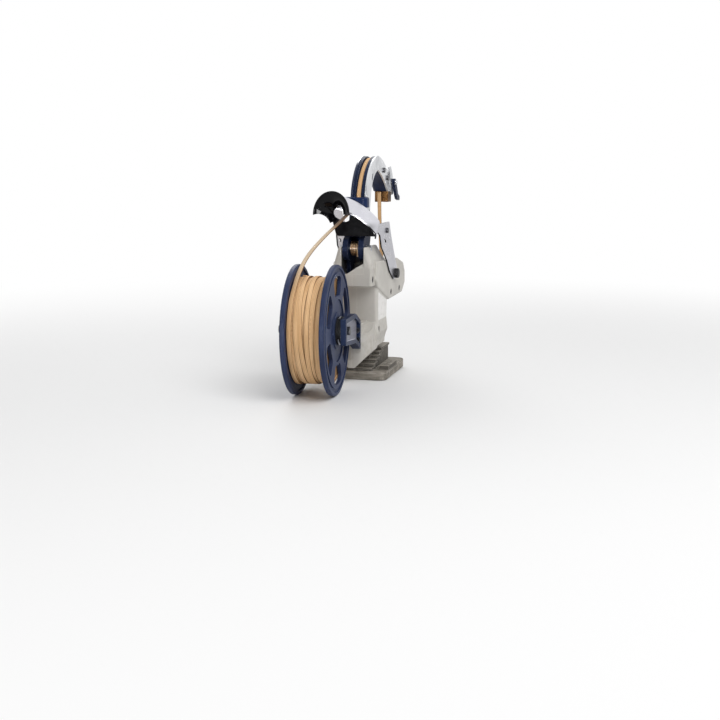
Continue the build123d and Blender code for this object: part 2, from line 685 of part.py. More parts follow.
def make_arm():
    groove = RIBBON_W / 2 + GROOVE_GAP
    core = slab_x(arch_face(CORE_INSET), -PLATE_IN, PLATE_IN)
    core -= slab_x(arch_face(0) - arch_face(GROOVE), -groove, groove)
    neck = [(HINGE_Y - 10.5, HINGE_Z + 2), (HINGE_Y + 10.5, HINGE_Z - 5.5), (HINGE_Y + 20.5, arm_foot)]
    neck += [(HINGE_Y + 18, arm_foot + 6), (HINGE_Y + 5, arm_foot + 6), (HINGE_Y + 2.5, arm_foot)]
    hub = slab_x(outline(neck), -CHEEK_OUT, CHEEK_OUT) + rod_x(HINGE_Y, HINGE_Z, HUB_R, -CHEEK_OUT, CHEEK_OUT)
    shoulder = box(-CHEEK_OUT, CHEEK_OUT, -FAR, FAR, arm_foot, arm_foot + 10)
    plates_gap = box(-PLATE_IN, PLATE_IN, -FAR, FAR, arm_foot, arm_foot + 10)
    core += hub - (shoulder - plates_gap)
    core -= rod_x(HINGE_Y, HINGE_Z, HUB_R + 1, -CHEEK_IN, CHEEK_IN)
    sector_at = PINION_AT - 2 * 360 / SECTOR_TEETH
    teeth = Polygon((0, 0), *tooth_points(SECTOR_TEETH, sector_at, 9), align=None)
    core += Pos(0, HINGE_Y, HINGE_Z) * slab_x(teeth, pinion_x0, pinion_x1)
    core -= rod_x(HINGE_Y, HINGE_Z, PIN_R + RUN, -2 * CHEEK_OUT, 2 * CHEEK_OUT)
    plate = arch_face(0)
    plate -= Pos(PEAK_Y - 23, peak_z - 20.5) * Rot(0, 0, 60) * SlotOverall(8, 2.6)
    for y, z in ARM_SCREWS:
        core -= rod_x(y, z, SCREW_R, -2 * PLATE_IN, 2 * PLATE_IN)
        plate -= Pos(y, z) * Circle(SCREW_R)
    save(core, "arm_core")
    save(slab_x(plate, -plate_out, -PLATE_IN), "arm_plate_left")
    save(slab_x(plate, PLATE_IN, plate_out), "arm_plate_right")
    screws = []
    for y, z in ARM_SCREWS:
        screw = rod_x(y, z, SCREW_R, -plate_out, plate_out)
        for x0, x1 in ((plate_out, plate_out + 1.6), (-plate_out - 1.6, -plate_out)):
            screw += rod_x(y, z, 2.6, x0, x1)
        screws.append(screw)
    save(Compound(screws), "arm_screws")


def make_arm_tip():
    low = tip_z - TIP_GUIDE_H
    tip = box(-TIP_HALF, TIP_HALF, tip_back + 1.5, tip_front - 2.5, low, tip_z)
    tip = fillet(tip.edges().filter_by(Axis.Z), 1.2)
    tip -= box(-2.2, 2.2, tip_back, tip_back + 4.5, low - 1, tip_z + 1)
    tip -= box(1.8 - TIP_HALF, TIP_HALF - 1.8, tip_back + 7, tip_front - 5, low - 1, tip_z - 3)
    save(tip, "tip_guide")
    strip = outline([(-15, 16), (-7, 17), (2, 7), (4.5, -12), (-2, -13), (-7, 0)], 1.2)
    strip = Pos(finger_y, finger_z) * (strip - Circle(FINGER_PIN_R))
    save(slab_x(strip, plate_out, plate_out + TIP_PLATE_T), "tip_plate")
    finger_x = plate_out + TIP_PLATE_T + FREE
    pin = rod_x(finger_y, finger_z, FINGER_PIN_R, plate_out, finger_x + FINGER_T + 0.2)
    pin += rod_x(finger_y, finger_z, 2.6, finger_x + FINGER_T + 0.2, finger_x + FINGER_T + 1.6)
    save(pin, "finger_pin")
    back = [(-4.2, 0.5), (-1, 4.2), (3.5, 3.2), (13.5, -12.2), (20.8, -15)]
    inside = [(20, -19.4), (10.5, -17.6), (6.5, -13.5)]
    hook = Pos(finger_y, finger_z) * outline(back + inside, 1.4)
    finger = slab_x(hook, finger_x, finger_x + FINGER_T)
    save(finger - rod_x(finger_y, finger_z, FINGER_PIN_R + RUN, 0, FAR), "tip_finger")
    back = guide_front + 2 * FREE
    low = arm_foot + 18
    collar = box(-plate_out - 6.2, plate_out + 2.7, back, back + 13.4, low, low + 10)
    collar = fillet(collar.edges().filter_by(Axis.Z), 4)
    collar = fillet(collar.faces().sort_by(Axis.Z)[-1].edges(), 2)
    collar -= slab_x(arch_face(0), -plate_out, plate_out)
    tunnel = RIBBON_W / 2 + 1.5
    collar -= box(-tunnel, tunnel, back + 2, back + 13.4, low - 1, low + 11)
    save(collar, "arm_collar")


def make_arm_pin():
    pin = rod_x(HINGE_Y, HINGE_Z, PIN_R, -HUMP_HALF - 1, HUMP_HALF + 1)
    save(pin, "arm_pin")
    pitch = 2 * SPRING_WIRE + SPRING_GAP
    spring = coil(SPRING_R, pitch, SPRING_TURNS, 75, HUB_R - 2.5)
    wire = sweep(Plane(origin=spring @ 0, z_dir=spring % 0) * Circle(SPRING_WIRE), path=spring)
    print_gap("return_spring", SPRING_R, pitch, 2 * SPRING_WIRE)
    save(Pos(0, HINGE_Y, HINGE_Z) * wire, "return_spring")


# Drives
def make_drives():
    save(rod_x(drive_y, drive_z, ARBOR_R, gear_x0 - 4, 6), "gear_arbor")
    wheel = slab_x(spur(GEAR_TEETH, MOTOR_AT, ARBOR_R + RUN), gear_x0, gear_x1)
    save(Pos(0, drive_y, drive_z) * wheel, "drive_gear")
    step = 180 / PINION_TEETH
    pinion = slab_x(spur(PINION_TEETH, PINION_AT + 180 + step, ARBOR_R + RUN), gear_x1, pinion_x1)
    save(Pos(0, drive_y, drive_z) * pinion, "drive_pinion")
    face = Polygon(*tooth_points(PINION_TEETH, MOTOR_AT + 180 + step, PINION_TEETH), align=None)
    small = Pos(0, motor_y, motor_z) * slab_x(face, gear_x0, gear_x1)
    save(small + rod_x(motor_y, motor_z, 1.5, gear_x1, -2), "motor_pinion")
    can = rod_x(motor_y, motor_z, ARM_MOTOR_R, -8, ARM_MOTOR_LEN - 8)
    save(can - rod_x(motor_y, motor_z, 1.5 + RUN, -9, -1), "arm_motor")
    can = rod_z(0, twist_y, TWIST_MOTOR_R, twist_motor_z, twist_motor_z + TWIST_MOTOR_LEN)
    save(can - rod_z(0, twist_y, 1.5 + RUN, twist_motor_z - 1, twist_motor_z + 7), "twist_motor")
    face = Polygon(*tooth_points(PINION_TEETH, 90, PINION_TEETH), align=None)
    small = Pos(0, twist_y, train_z) * extrude(face, GEAR_W)
    save(small + rod_z(0, twist_y, 1.5, train_z + GEAR_W, twist_motor_z + 6), "twist_pinion")
    wheel = extrude(spur(IDLER_TEETH, -90 + 180 / IDLER_TEETH, ARBOR_R + RUN), GEAR_W)
    save(Pos(0, idler_y, train_z) * wheel, "twist_idler")
    save(rod_z(0, idler_y, ARBOR_R, train_floor - 4, train_top + 0.5), "idler_pin")


def make_spindle():
    wheel = extrude(spur(HEAD_TEETH, -90, SPINDLE_R), GEAR_W)
    save(Pos(0, SPINDLE_Y, train_z) * wheel, "spindle_gear")
    head_z = mouth_floor + FREE
    shaft = rod_z(0, SPINDLE_Y, SPINDLE_R, train_floor - 8, head_z)
    head = rod_z(0, SPINDLE_Y, HEAD_R, head_z, head_z + HEAD_H)
    head = fillet(head.edges().group_by(Axis.Z)[-1], 1.5)
    for angle in (0, 90):
        cut = Pos(0, SPINDLE_Y, head_z + HEAD_H) * Rot(0, 0, angle) * Box(2 * HEAD_R + 2, 2.4, 7)
        head -= cut
    save(shaft + head, "twist_spindle")
    rings = []
    for z0, z1 in ((train_floor - 8, train_floor), (train_top, mouth_floor)):
        ring = rod_z(0, SPINDLE_Y, SPINDLE_R + 2, z0, z1)
        rings.append(ring - rod_z(0, SPINDLE_Y, SPINDLE_R + RUN, z0 - 1, z1 + 1))
    save(Compound(rings), "spindle_bushes")
    blade = box(-8, 8, MOUTH_BACK, MOUTH_BACK + 1.5, mouth_floor, mouth_floor + 9)
    blade -= Pos(0, MOUTH_BACK, mouth_floor + 9) * Rot(0, 45, 0) * Box(5, 9, 5)
    save(blade, "cutter_plate")


# Guide: a bent sheet with two legs astride the barrel, and a trumpet mouth at its rear
def leg_face(wing):
    low = [(-33, panel_foot), (-27, panel_foot - 11.5), (-5, panel_foot - 26), (KNOB_Y - 22.3, KNOB_Z + 3.3)]
    low += [(KNOB_Y - 6, KNOB_Z - 5.5), (KNOB_Y + 4, KNOB_Z - 5.5), (KNOB_Y + 8.5, KNOB_Z + 5)]
    high = [(KNOB_Y - 5.3, KNOB_Z + 21.8), (KNOB_Y - 18.3, panel_foot - 2.5), (4, panel_foot + 11.5)]
    if wing:
        low[:2] = [(-24, panel_foot + 0.5), (-21, panel_foot - 10.5)]
        high += [(-20, panel_foot + 34.5), (-40, panel_foot + 34.5), (-40, panel_foot + 18.5)]
    else:
        high += [(-38, panel_foot + 11.5), (-46, panel_foot + 5.5)]
    face = outline(low + high, 1.2)
    face -= Pos(-13, panel_foot - 6.5) * Rot(0, 0, -20) * SlotOverall(8, 2.6)
    face -= Pos(KNOB_Y, KNOB_Z) * Circle(THREAD_R)
    return face - Pos(-7, rivet_z) * Circle(SCREW_R)


# The hood's edge at its rear end: an arch, a tail over the left side, and a straight end on each leg.
def hood_edge(out):
    crown = (-19, panel_foot + 26.3 + out)
    right_x = leg_x + out
    left_x = -leg_x - out
    arch = ThreePointArc((right_x, panel_foot + 3), (7 + 0.6 * out, panel_foot + 16.1 + 0.8 * out), crown)
    tail = ThreePointArc(crown, (-21.5 - 0.8 * out, panel_foot + 24.5 + 0.6 * out), (left_x, panel_foot + 21))
    right_end = Line((right_x, panel_foot - 2), arch @ 0)
    left_end = Line(tail @ 1, (left_x, panel_foot + 15.5))
    return [right_end, arch, tail, left_end]


def make_guide():
    upper = hood_edge(SHEET)
    lower = hood_edge(0)
    ends = [Line(upper[0] @ 0, lower[0] @ 0), Line(upper[3] @ 1, lower[3] @ 1)]
    strip = Plane.XZ.offset(-GUIDE_REAR) * make_face(Curve() + upper + lower + ends)
    hood = extrude(strip, amount=math.hypot(GUIDE_RUN, GUIDE_RISE), dir=(0, GUIDE_RUN, GUIDE_RISE))
    right = slab_x(leg_face(False), leg_x, leg_x + SHEET)
    left = slab_x(leg_face(True), -leg_x - SHEET, -leg_x)
    cover = hood + right + left
    save(cover, "guide_cover")
    save(make_panel() - cover, "guide_panel")
    save(make_trumpet(), "guide_trumpet")
    knobs = []
    studs = []
    for side in (-1, 1):
        face_x = leg_x + SHEET
        cap = rod_x(KNOB_Y, KNOB_Z, KNOB_R, face_x, face_x + KNOB_LEN)
        cap = fillet(cap.edges().group_by(Axis.X)[-1], 1.2)
        middle = Pos(face_x + KNOB_LEN / 2, KNOB_Y, KNOB_Z)
        for i in range(8):
            cap -= middle * Rot(45 * i, 0, 0) * Pos(0, 0, KNOB_R + 0.6) * Box(2 * KNOB_LEN, 1.5, 2.4)
        cap += rod_x(KNOB_Y, KNOB_Z, THREAD_R, BARREL_HALF - 7, face_x)
        stud = rod_x(-7, rivet_z, SCREW_R, leg_x, face_x) + rod_x(-7, rivet_z, 2.6, face_x, face_x + 1.6)
        stud += rod_x(-7, rivet_z, 2.6, leg_x - 0.8, leg_x)
        if side < 0:
            cap = mirror(cap, about=Plane.YZ)
            stud = mirror(stud, about=Plane.YZ)
        knobs.append(cap)
        studs.append(stud)
    save(Compound(knobs), "knob_screws")
    save(Compound(studs), "guide_rivets")


# The panel closes the hood's rear below its edge, with an eye for the ribbon.
def make_panel():
    ahead = PANEL_IN - SHEET
    rise = GUIDE_RISE * ahead / GUIDE_RUN - FREE
    high = panel_foot + rise
    corner = (-20.5, panel_foot + 15.5)
    edge = ThreePointArc((leg_x, panel_foot), (7, high + 16.1), (-19.5, high + 26.3))
    sides = [Line(edge @ 1, corner), Line(corner, (-15, panel_foot))]
    foot = Line((-15, panel_foot), (leg_x, panel_foot))
    eye = Pos(-10.5, panel_foot + 20.8) * Rot(0, 0, -28) * SlotOverall(18, 11.5)
    face = make_face(Curve() + [edge] + sides + [foot]) - eye
    return extrude(Plane.XZ.offset(-GUIDE_REAR - PANEL_IN) * face, SHEET)


# The trumpet is a lipped bell over the ribbon, open below, with its lower edge cut in a curve.
def make_trumpet():
    waist = THROAT_R + 2.9
    inner = ThreePointArc((THROAT_R, -6), (waist, BELL_LEN * 0.62), (BELL_R, BELL_LEN))
    bow = (waist + SHEET, BELL_LEN * 0.62 - 1)
    outer = ThreePointArc((THROAT_R + SHEET, -6), bow, (BELL_R, BELL_LEN - SHEET))
    ends = [Line(inner @ 0, outer @ 0), Line(inner @ 1, outer @ 1)]
    face = make_face(Curve() + [inner, outer] + ends) + Pos(BELL_R, BELL_LEN - SHEET / 2) * Circle(BELL_LIP)
    bell = revolve(Plane.XZ * face, Axis.Z, BELL_SWEEP)
    aim = Vector(-6.2, -17, 1.8).normalized()
    throat = Vector(-10.9, GUIDE_REAR + 2, panel_foot + 20.5)
    place = Plane(origin=throat, x_dir=(aim.Y, -aim.X, 0), z_dir=aim)
    bell = place.location * Rot(0, 0, BELL_FROM) * bell
    bell &= box(-FAR, FAR, -FAR, GUIDE_REAR, 0, FAR)
    scoop = Plane(origin=throat + Vector(-20.1, -12, -11.2), z_dir=(-0.29, 0.95, -0.06))
    bell -= scoop.location * Cylinder(12, 2 * BELL_LEN + 40)
    into = Vector(*FEED[-1]) - Vector(*FEED[-2])
    passage = Plane(origin=Vector(*FEED[-2]), z_dir=into)
    return bell - passage.location * Cylinder(RIBBON_W / 2 + 0.9, 2 * into.length)


# Grip pieces
def make_grip_pieces():
    top = TRIGGER_FOOT + TRIGGER_H
    tip = GRIP_FRONT + TRIGGER_OUT
    low = [(trigger_back, TRIGGER_FOOT), (tip - 5, TRIGGER_FOOT), (tip, TRIGGER_FOOT + 2)]
    high = [(tip - 4, TRIGGER_FOOT + 10), (tip - 0.5, top - 1), (tip - 5, top), (trigger_back, top)]
    save(slab_x(outline(low + high, 1.5), -TRIGGER_HALF, TRIGGER_HALF), "trigger")
    spring = coil(4.0, 1.7, 5.0, 0, 1.2)
    print_gap("trigger_spring", 4.0, 1.7, 0.8)
    wire = sweep(Plane(origin=spring @ 0, z_dir=spring % 0) * Circle(0.4), path=spring)
    middle = (spring_back + trigger_back) / 2
    save(Pos(0, middle, TRIGGER_FOOT + 11) * Rot(0, 0, 90) * wire, "trigger_spring")
    switch = box(*switch_span(0))
    switch += rod_y(0, TRIGGER_FOOT + 11, 1.6, spring_back, spring_back + 3.5)
    save(switch, "trigger_switch")
    board = box(-15, 15, BOARD_BACK, BOARD_FRONT, BOARD_Z, BOARD_Z + 1.6)
    middle = (BOARD_BACK + BOARD_FRONT) / 2
    for x, y, w, d, h in ((-6, -8, 9, 8, 1.4), (6, 7, 7, 9, 3.5), (8, -8, 8, 8, 5), (-8, 6, 5, 12, 2.5)):
        chip = box(x - w / 2, x + w / 2, middle + y - d / 2, middle + y + d / 2, BOARD_Z, BOARD_Z + 1.6 + h)
        board += chip
    save(board, "control_board")
    button = rod_x(BUTTON_Y, BUTTON_Z, BUTTON_R, -BARREL_HALF - 1.5, 5.4 - BARREL_HALF - BUTTON_PRESS)
    button = fillet(button.edges().group_by(Axis.X)[0], 0.8)
    save(button, "power_button")
    block = box(*terminal_span())
    for x in BLADE_X:
        block -= box(x - 0.7, x + 0.7, RAIL_BACK - 9.5, RAIL_BACK, TEE_Z, TEE_Z + TEE_H)
    save(block, "terminal_block")


# Battery foot: tray with cells, ribbed lid with a tee rail, and two side tabs
def make_battery():
    middle = (PACK_BACK + PACK_FRONT) / 2
    length = PACK_FRONT - PACK_BACK
    plan = Pos(0, middle) * RectangleRounded(2 * PACK_HALF, length, 8)
    tray = extrude(plan, TRAY_H)
    tray = chamfer(tray.edges().group_by(Axis.Z)[0], 1.0)
    tray -= box(2 - PACK_HALF, PACK_HALF - 2, PACK_BACK + 8, PACK_FRONT - 8, 1.6, TRAY_H + 1)
    save(tray, "battery_tray")
    lid = Pos(0, 0, TRAY_H) * extrude(plan, LID_T)
    lid = fillet(lid.edges().group_by(Axis.Z)[-1], 0.8)
    back = PACK_BACK + 1
    pitch = (STAIR_FRONT - back) / RIDGES
    for i in range(RIDGES):
        y = back + i * pitch
        top = lid_z + (i + 1) * STAIR_RISE
        end = STAIR_END if i == RIDGES - 1 else y + 2 * pitch
        lid += box(-RIDGE_HALF + 1, RIDGE_HALF - 1, y + 2, STAIR_END - 1, lid_z - 1, top - 0.5)
        lid += box(-RIDGE_HALF, RIDGE_HALF, y, end, top - RIDGE_T, top)
    lid += box(-NECK_HALF, NECK_HALF, RAIL_BACK, RAIL_FRONT, lid_z, TEE_Z + 1)
    lid += box(-TEE_HALF, TEE_HALF, RAIL_BACK, RAIL_FRONT, TEE_Z + FREE, TEE_Z + TEE_H - FREE)
    save(lid, "battery_lid")
    cells = []
    for x0, x1 in ((3 - PACK_HALF, -1), (1, PACK_HALF - 3)):
        cell = box(x0, x1, PACK_BACK + 9, PACK_FRONT - 9, 1.6, TRAY_H - SEAT)
        cells.append(fillet(cell.edges().filter_by(Axis.Y), 1.5))
    save(Compound(cells), "battery_cells")
    blades = []
    for x in BLADE_X:
        blades.append(box(x - 0.4, x + 0.4, RAIL_BACK - 8, RAIL_BACK, TEE_Z + 1, TEE_Z + TEE_H - 1))
    save(Compound(blades), "battery_blades")
    for side, name in ((-1, "release_tab_left"), (1, "release_tab_right")):
        x0, x1 = sorted((side * (RIDGE_HALF + 5), side * (PACK_HALF + 0.8)))
        tab = box(x0, x1, TAB_BACK, TAB_BACK + TAB_LEN, lid_z + SEAT, lid_z + 4.5)
        tab = fillet(tab.edges().group_by(Axis.Z)[-1], 1.2)
        for i in range(5):
            y = TAB_BACK + TAB_LEN * (i + 1) / 6
            tab -= box(x0 + 3, x1 - 3, y - 1, y + 1, lid_z + 3.7, lid_z + 9)
        save(tab, name)


# Ribbon: free from the spool to the guide, across to the arm, round the arm, down to the head
def make_ties():
    save(ribbon(FEED, "tie_feed"), "tie_feed")
    save(ribbon(BRIDGE, "tie_bridge"), "tie_bridge")
    rear, top_rear, top_front = arch_edges(GROOVE / 2)
    wrap = [rear @ 0.82, rear @ 1]
    wrap += [top_rear @ t for t in (0.25, 0.5, 0.75, 1)]
    wrap += [top_front @ t for t in (0.2, 0.4, 0.6)]
    save(ribbon([(0, p.X, p.Y) for p in wrap], "tie_wrap"), "tie_wrap")
    drop = [(-1.5, 63.2, tip_z - 1), (-1.5, 63.8, 158), (-0.6, 66, 130)]
    drop.append((0, SPINDLE_Y, mouth_floor + HEAD_H + 1))
    save(ribbon(drop, "tie_loop"), "tie_loop")


make_housing()
make_spool()
make_axle()
make_bracket()
make_arm()
make_arm_tip()
make_arm_pin()
make_drives()
make_spindle()
make_guide()
make_grip_pieces()
make_battery()
make_ties()
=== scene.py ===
# %% [markdown]
# # A battery tool that ties vines
#
# The tool is built in three programs that share one frame: metres, +Y forward, Z = 0 on the ground.
# The solids arrive from CAD. This lesson gives them their finishes and makes what CAD is poor at:
# the kraft ribbon on the spool and on its way round the arm, and the wound springs.

import json
import math
import random

import bmesh
import bpy
from mathutils import Matrix, Vector


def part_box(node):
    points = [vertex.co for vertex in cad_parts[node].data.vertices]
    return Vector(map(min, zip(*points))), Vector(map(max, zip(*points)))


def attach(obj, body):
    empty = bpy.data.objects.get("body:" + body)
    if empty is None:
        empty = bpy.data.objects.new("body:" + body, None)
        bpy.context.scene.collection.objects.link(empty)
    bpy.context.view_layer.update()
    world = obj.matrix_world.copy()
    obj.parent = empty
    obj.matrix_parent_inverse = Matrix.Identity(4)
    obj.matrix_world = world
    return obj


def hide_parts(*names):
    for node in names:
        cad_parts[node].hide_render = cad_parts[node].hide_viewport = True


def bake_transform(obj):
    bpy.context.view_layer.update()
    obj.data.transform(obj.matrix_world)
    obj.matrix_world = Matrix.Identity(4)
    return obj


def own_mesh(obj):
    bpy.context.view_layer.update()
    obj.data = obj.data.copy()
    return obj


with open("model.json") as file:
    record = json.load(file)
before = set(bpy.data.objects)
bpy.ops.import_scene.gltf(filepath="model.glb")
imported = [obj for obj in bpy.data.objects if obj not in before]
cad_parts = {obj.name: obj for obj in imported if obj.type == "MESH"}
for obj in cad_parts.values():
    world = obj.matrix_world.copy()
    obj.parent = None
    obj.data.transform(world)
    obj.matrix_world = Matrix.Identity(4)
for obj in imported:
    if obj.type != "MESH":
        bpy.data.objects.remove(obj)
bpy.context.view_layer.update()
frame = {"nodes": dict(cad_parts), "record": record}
MM = 0.001
scene = bpy.context.scene

# %% [markdown]
# ## Shader maths as plain expressions
#
# A finish is a chain of small sums: a mask times a colour, one minus a noise. Drawn as nodes these
# sums are hard to read, so one class wraps a socket and turns Python's operators into Math nodes.
# Everything that isn't a sum comes from one method, which takes the node's type, its settings and
# its sockets.


# %% Socket sums
class Value:
    def __init__(self, finish, socket):
        self.finish = finish
        self.socket = socket

    def sum(self, operation, first, second=0.0):
        return self.finish.node("ShaderNodeMath", {"operation": operation}, {0: first, 1: second})

    def __add__(self, other):
        return self.sum("ADD", self, other)

    def __sub__(self, other):
        return self.sum("SUBTRACT", self, other)

    def __rsub__(self, other):
        return self.sum("SUBTRACT", other, self)

    def __mul__(self, other):
        return self.sum("MULTIPLY", self, other)

    def __pow__(self, other):
        return self.sum("POWER", self, other)

    def __abs__(self):
        return self.sum("ABSOLUTE", self)

    def sine(self):
        return self.sum("SINE", self)

    def most(self, other):
        return self.sum("MAXIMUM", self, other)

    def ramp(self, low, high, out_low=0.0, out_high=1.0):
        sockets = {0: self, 1: low, 2: high, 3: out_low, 4: out_high}
        return self.finish.node("ShaderNodeMapRange", {"interpolation_type": "SMOOTHSTEP"}, sockets)

    __radd__ = __add__
    __rmul__ = __mul__


print("sums:", [name for name in vars(Value) if name.startswith("__r")])


# %% Finish class
class Finish:
    def __init__(self, name, **constants):
        self.material = bpy.data.materials.new(name)
        self.material.use_nodes = True
        self.tree = self.material.node_tree
        self.shader = self.tree.nodes["Principled BSDF"]
        self.feed(**constants)

    def node(self, kind, settings=None, sockets=None, output=0):
        made = self.tree.nodes.new(kind)
        for key, setting in (settings or {}).items():
            setattr(made, key, setting)
        for key, value in (sockets or {}).items():
            self.plug(made.inputs[key], value)
        return Value(self, made.outputs[output])

    def plug(self, socket, value):
        if isinstance(value, Value):
            self.tree.links.new(value.socket, socket)
        else:
            socket.default_value = value

    def feed(self, **sockets):
        for key, value in sockets.items():
            socket = key.replace("_", " ").title().replace("Ior", "IOR")
            self.plug(self.shader.inputs[socket], value)

    def noise(self, scale, detail=3.0, stretch=(1, 1, 1), rough=0.55):
        spot = self.node("ShaderNodeTexCoord", output="Object")
        place = self.node("ShaderNodeMapping", {}, {"Vector": spot, "Scale": stretch})
        sockets = {"Vector": place, "Scale": scale, "Detail": detail, "Roughness": rough}
        return self.node("ShaderNodeTexNoise", {}, sockets)

    def axes(self, vector):
        return [self.node("ShaderNodeSeparateXYZ", {}, {0: vector}, i) for i in range(3)]

    def spot(self):
        return self.axes(self.node("ShaderNodeTexCoord", output="Object"))

    def facing(self):
        return self.axes(self.node("ShaderNodeTexCoord", output="Normal"))

    def mix(self, factor, first, second):
        sockets = {0: factor, 6: first, 7: second}
        return self.node("ShaderNodeMix", {"data_type": "RGBA"}, sockets, 2)

    def edge(self, radius):
        soft = self.node("ShaderNodeBevel", {"samples": 4}, {"Radius": radius})
        flat = self.node("ShaderNodeNewGeometry", output="Normal")
        settings = {"operation": "DOT_PRODUCT"}
        same = self.node("ShaderNodeVectorMath", settings, {0: soft, 1: flat}, "Value")
        return (1.0 - same).ramp(0.02, 0.22)

    def bump(self, height, strength, distance):
        sockets = {"Height": height, "Strength": strength, "Distance": distance}
        self.feed(normal=self.node("ShaderNodeBump", {}, sockets))


def rgb(red, green, blue):
    return (red, green, blue, 1.0)


print("shader helpers ready")

# %% [markdown]
# ## Moulded housing
#
# The shells are warm grey plastic with a fine spark grain. Handling leaves the corners a little
# paler and smoother, and field dust settles low on the grip. The corner mask compares the true
# normal with one that the Bevel node has rounded, so it needs no extra geometry. The arm's well is
# painted nearly black as painted shade: the shader finds it from the distance to the hinge and to
# the middle plane.

# %% Housing plastic
HINGE = Vector((0.0, -0.036, 0.129))
WELL_HALF = 11.3 * MM
WELL_R = 27.4 * MM
LEDGE_FACE = -47.2 * MM
WELL_SHADE_RIM = 0.1 * MM
DUST_TOP = 75 * MM
DUST_FULL = 20 * MM
housing = Finish("housing plastic", specular_ior_level=0.4)
grain = housing.noise(2600, 2)
cloud = housing.noise(38, 4)
corner = housing.edge(0.0012)
x, y, z = housing.spot()
dust = z.ramp(DUST_TOP, DUST_FULL) * housing.noise(160, 5).ramp(0.42, 0.68)
tone = housing.mix(cloud.ramp(0.35, 0.7), rgb(0.465, 0.446, 0.412), rgb(0.535, 0.515, 0.478))
tone = housing.mix(corner * 0.5, tone, rgb(0.64, 0.625, 0.59))
tone = housing.mix(dust * 0.45, tone, rgb(0.27, 0.235, 0.19))
hinge_gap = ((y - HINGE.y) ** 2.0 + (z - HINGE.z) ** 2.0) ** 0.5
between = abs(x).ramp(WELL_HALF + 3 * WELL_SHADE_RIM, WELL_HALF + WELL_SHADE_RIM)
inside = between * y.ramp(LEDGE_FACE, LEDGE_FACE + 6 * WELL_SHADE_RIM)
# Painted shade: inside the arm's well the plastic is painted nearly black, with a smoother skin.
well_shade = inside * hinge_gap.ramp(WELL_R + 6 * WELL_SHADE_RIM, WELL_R + 2 * WELL_SHADE_RIM)
tone = housing.mix(well_shade * 0.95, tone, rgb(0.016, 0.016, 0.018))
rough = 0.5 + 0.12 * cloud - 0.1 * corner + 0.15 * dust - 0.12 * well_shade
housing.feed(base_color=tone, roughness=rough)
housing.bump(grain, 0.22, 0.0002)
print("made", housing.material.name)

# %% [markdown]
# ## Label place
#
# A pale patch on the right of the grip is where a label would sit. It stays bare: film with a soft
# sheen, rubbed edges and a little ingrained grey.

# %% Label film
film = Finish("bare label film", coat_weight=0.25, coat_roughness=0.2)
smear = film.noise(120, 5, (1, 1, 2.5))
rub = film.edge(0.0009)
paper_tone = film.mix(smear.ramp(0.45, 0.75) * 0.4, rgb(0.74, 0.725, 0.70), rgb(0.56, 0.54, 0.51))
film.feed(base_color=film.mix(rub * 0.5, paper_tone, rgb(0.42, 0.40, 0.37)))
film.feed(roughness=smear.ramp(0.3, 0.7, 0.32, 0.5))
film.bump(film.noise(700, 3), 0.08, 0.0003)
print("made", film.material.name)

# %% [markdown]
# ## Spool plastic
#
# The spool is slate-blue plastic with a satin skin. Its flanges carry faint turned rings and fine
# radial scuffs from being pushed on and off the axle, and their rims are rubbed pale. The rings
# follow the distance from the axle, which is worked out from Object coordinates.

# %% Spool plastic
CANT = math.radians(4.5)
HUB = Vector((-0.016, -0.115, 0.060))
RINGS_PER_METRE = 9000
slate = Finish("slate spool plastic", specular_ior_level=0.22)
x, y, z = slate.spot()
ahead = (y - HUB.y) * math.cos(CANT) - (x - HUB.x) * math.sin(CANT)
radius = (ahead * ahead + (z - HUB.z) * (z - HUB.z)) ** 0.5
rings = (radius * RINGS_PER_METRE).sine() * 0.5 + 0.5
wear = slate.edge(0.0011)
scuff = slate.noise(420, 6, (1, 1, 0.25), rough=0.7).ramp(0.6, 0.78)
haze = slate.noise(30, 3)
skin = slate.mix(haze.ramp(0.35, 0.7), rgb(0.017, 0.027, 0.070), rgb(0.028, 0.041, 0.098))
skin = slate.mix(wear * 0.45, skin, rgb(0.11, 0.14, 0.24))
skin = slate.mix(scuff * 0.3, skin, rgb(0.09, 0.11, 0.17))
slate.feed(base_color=skin, roughness=0.42 + 0.1 * haze + 0.15 * scuff - 0.08 * wear)
slate.bump(rings * 0.4 + slate.noise(1500, 2), 0.1, 0.0002)
print("made", slate.material.name)

# %% [markdown]
# ## Kraft ribbon
#
# The tie is brown paper folded over a thin wire. Two attributes travel with every ribbon: how far
# along it a point is and how far across. Fibres are noise stretched along the ribbon, and the wire
# shows as a low ridge between two creases in the middle, so the finish follows each bend instead of
# lying across it. The two creases are drawn as dark lines, painted shade beside the ridge, and each
# band is painted dark along its edges, painted shade that draws the slits between the turns. The
# free length bleaches with the distance from the spool, and at the guide it is painted dark as the
# shade under the guide's hood. The pack's edges are browner than the rest, painted shade behind the
# flanges.

# %% Kraft ribbon
PALE_AFTER = 50 * MM
GUIDE_FROM = 96 * MM
GUIDE_TO = 112 * MM
CREASE_AT = 0.36


